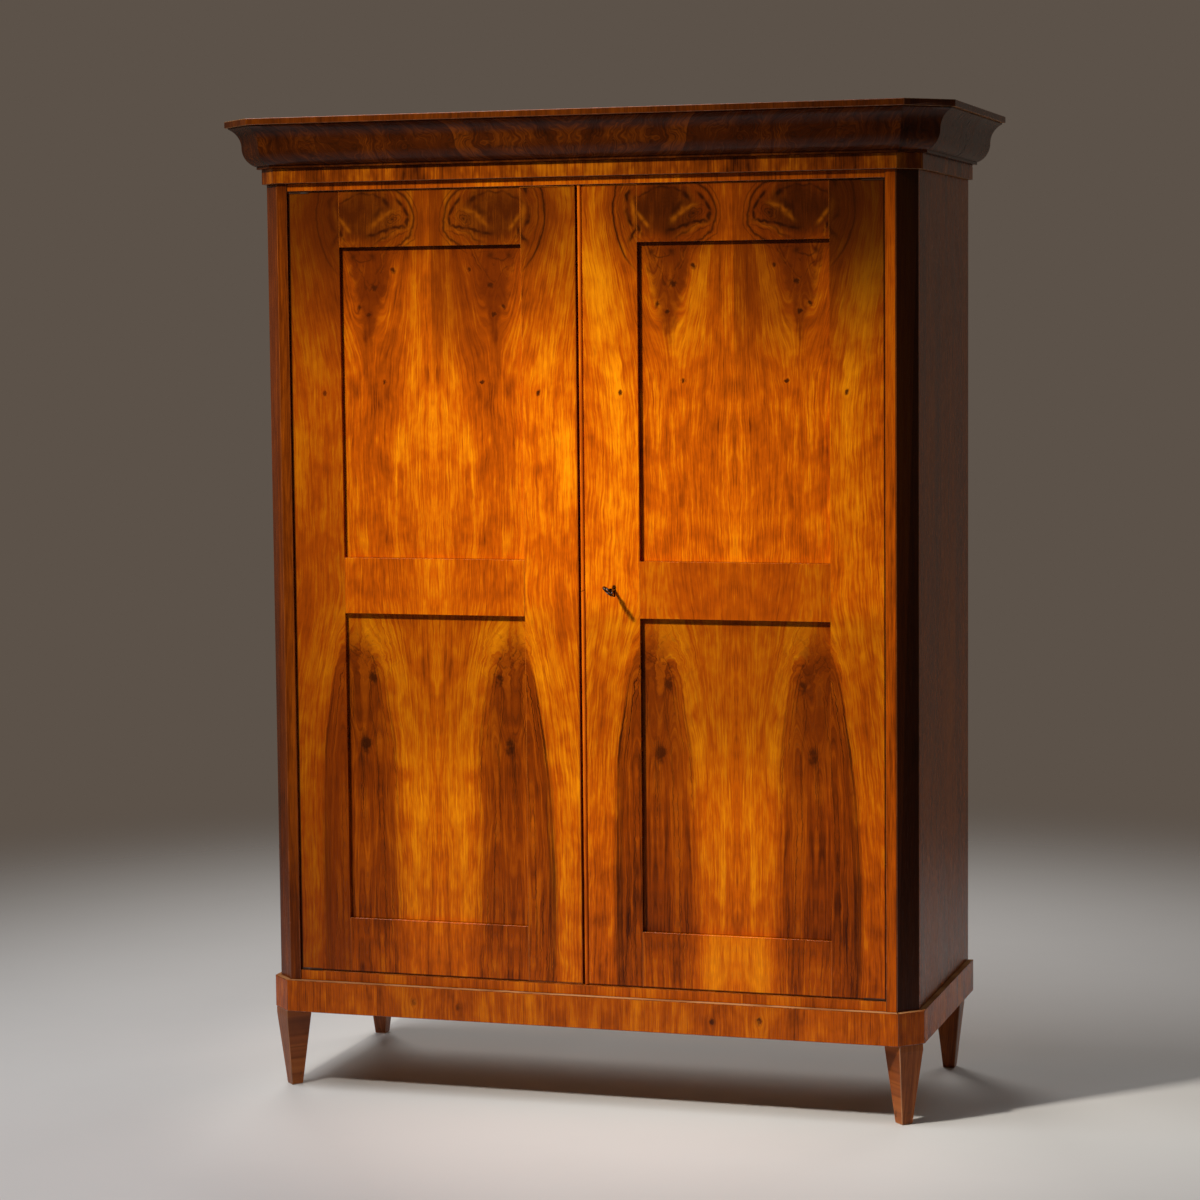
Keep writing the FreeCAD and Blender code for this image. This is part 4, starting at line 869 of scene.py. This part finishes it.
def round_floor(reach, rings, spokes):
    """A flat disc: x and y are a radius times the cosine and sine of an angle, on rings and spokes."""
    radius = np.linspace(0.0, reach, rings + 1)[1:, None]
    angle = np.linspace(0.0, 2 * math.pi, spokes, endpoint=False)[None, :]
    rim = np.stack([radius * np.cos(angle), radius * np.sin(angle), radius * angle * 0.0], -1).reshape(-1, 3)
    points = np.concatenate([[[0.0, 0.0, 0.0]], rim])
    first = 1 + np.arange(spokes)
    fan = np.stack([np.zeros(spokes, int), first, np.roll(first, -1)], 1)
    ring = first[None, :] + spokes * np.arange(rings - 1)[:, None]
    after = np.roll(ring, -1, 1)
    bands = np.stack([ring, ring + spokes, after + spokes, after], -1).reshape(-1, 4)
    mesh = bpy.data.meshes.new("studio_floor")
    mesh.from_pydata(points.tolist(), [], fan.tolist() + bands.tolist())
    thing = bpy.data.objects.new("studio_floor", mesh)
    bpy.context.scene.collection.objects.link(thing)
    return thing


floor = round_floor(reach=6.0, rings=6, spokes=64)
floor_paint, tree, shader, (x, y, z) = new_finish("floor_paint", Specular_IOR_Level=0.2)
fleck = noise(x * 3.0, y * 3.0, z, 4.0)
colour = blend(fleck.rise(-1.0, 1.5) * 0.08, tint(214, 212, 210), tint(176, 172, 168))
coat_with(tree, shader, colour, fleck * 0.03 + 0.55, fleck, strength=0.02, distance=0.001)
fade = (x * x + y * y).math("SQRT").rise(4.2, 1.4)
tree.links.new(fade.socket, shader.inputs["Alpha"])
floor.data.materials.append(floor_paint)


def lamp(name, place, target, size, power, colour, spread, mirrored=False):
    """A square soft lamp at a place, turned towards a target, with its beam kept within a spread in degrees.
    Only one that is mirrored shows in polish and metal."""
    light = bpy.data.lights.new(name, "AREA")
    light.shape, light.size, light.energy, light.color = "SQUARE", size, power, colour
    light.spread = math.radians(spread)
    thing = bpy.data.objects.new(name, light)
    bpy.context.scene.collection.objects.link(thing)
    thing.visible_camera, thing.visible_glossy = False, mirrored
    thing.location = place
    thing.rotation_euler = (Vector(target) - Vector(place)).to_track_quat("-Z", "Y").to_euler()


lamp("soft_lamp", place=(-1.2, -2.05, 3.05), target=(0.20, -0.2, 0.85), size=0.26, power=10.2,
     colour=(1.0, 0.95, 0.86), spread=46.0)
lamp("top_lamp", place=(-1.6, -1.2, 4.6), target=(-0.2, -1.2, 0.0), size=2.5, power=48.0,
     colour=(0.97, 0.98, 1.0), spread=100.0, mirrored=True)
lamp("back_left_lamp", place=(-2.2, 4.0, 3.0), target=(0.0, 0.3, 0.9), size=2.0, power=34.0,
     colour=(1.0, 0.98, 0.95), spread=100.0)
lamp("back_right_lamp", place=(1.3, 4.3, 2.6), target=(0.2, 0.3, 0.9), size=2.0, power=14.0,
     colour=(1.0, 0.98, 0.95), spread=100.0)
world = bpy.data.worlds.new("studio_air")
world.use_nodes = True
tree = world.node_tree
air = tree.nodes["Background"]
air.inputs["Color"].default_value = (1.0, 0.97, 0.93, 1.0)
air.inputs["Strength"].default_value = 0.03
backdrop = wire(tree, "Background", {"Color": tint(92, 82, 73), "Strength": 1.0})
path = wire(tree, "LightPath").socket.node
seen = Field(tree, path.outputs["Is Camera Ray"])
for ray in ("Is Glossy Ray", "Is Transmission Ray"):
    seen = strongest(seen, Field(tree, path.outputs[ray]))
both = wire(tree, "MixShader", [seen, Field(tree, air.outputs[0]), backdrop])
tree.links.new(both.socket, tree.nodes["World Output"].inputs["Surface"])
bpy.context.scene.world = world
bpy.context.scene.view_settings.view_transform = "Standard"

VIEW_PLACE, VIEW_LENS, SENSOR = (1.8538, -6.0678, 1.5341), 94.5, 36.0
VIEW_AZIMUTH, VIEW_PITCH, VIEW_ROLL = math.radians(17.2752), math.radians(4.9431), math.radians(-0.5621)
view = bpy.data.cameras.new("photograph_view")
view.sensor_width, view.lens = SENSOR, VIEW_LENS
camera = bpy.data.objects.new("photograph_view", view)
bpy.context.scene.collection.objects.link(camera)
camera.location = VIEW_PLACE
ahead = np.array([-math.sin(VIEW_AZIMUTH) * math.cos(VIEW_PITCH),
                  math.cos(VIEW_AZIMUTH) * math.cos(VIEW_PITCH), -math.sin(VIEW_PITCH)])
level = np.array([math.cos(VIEW_AZIMUTH), math.sin(VIEW_AZIMUTH), 0.0])
upward = np.cross(level, ahead)
right = math.cos(VIEW_ROLL) * level + math.sin(VIEW_ROLL) * upward
top = math.cos(VIEW_ROLL) * upward - math.sin(VIEW_ROLL) * level
camera.rotation_mode = "QUATERNION"
camera.rotation_quaternion = Matrix(np.stack([right, top, -ahead], 1).tolist()).to_quaternion()
bpy.context.scene.camera = camera
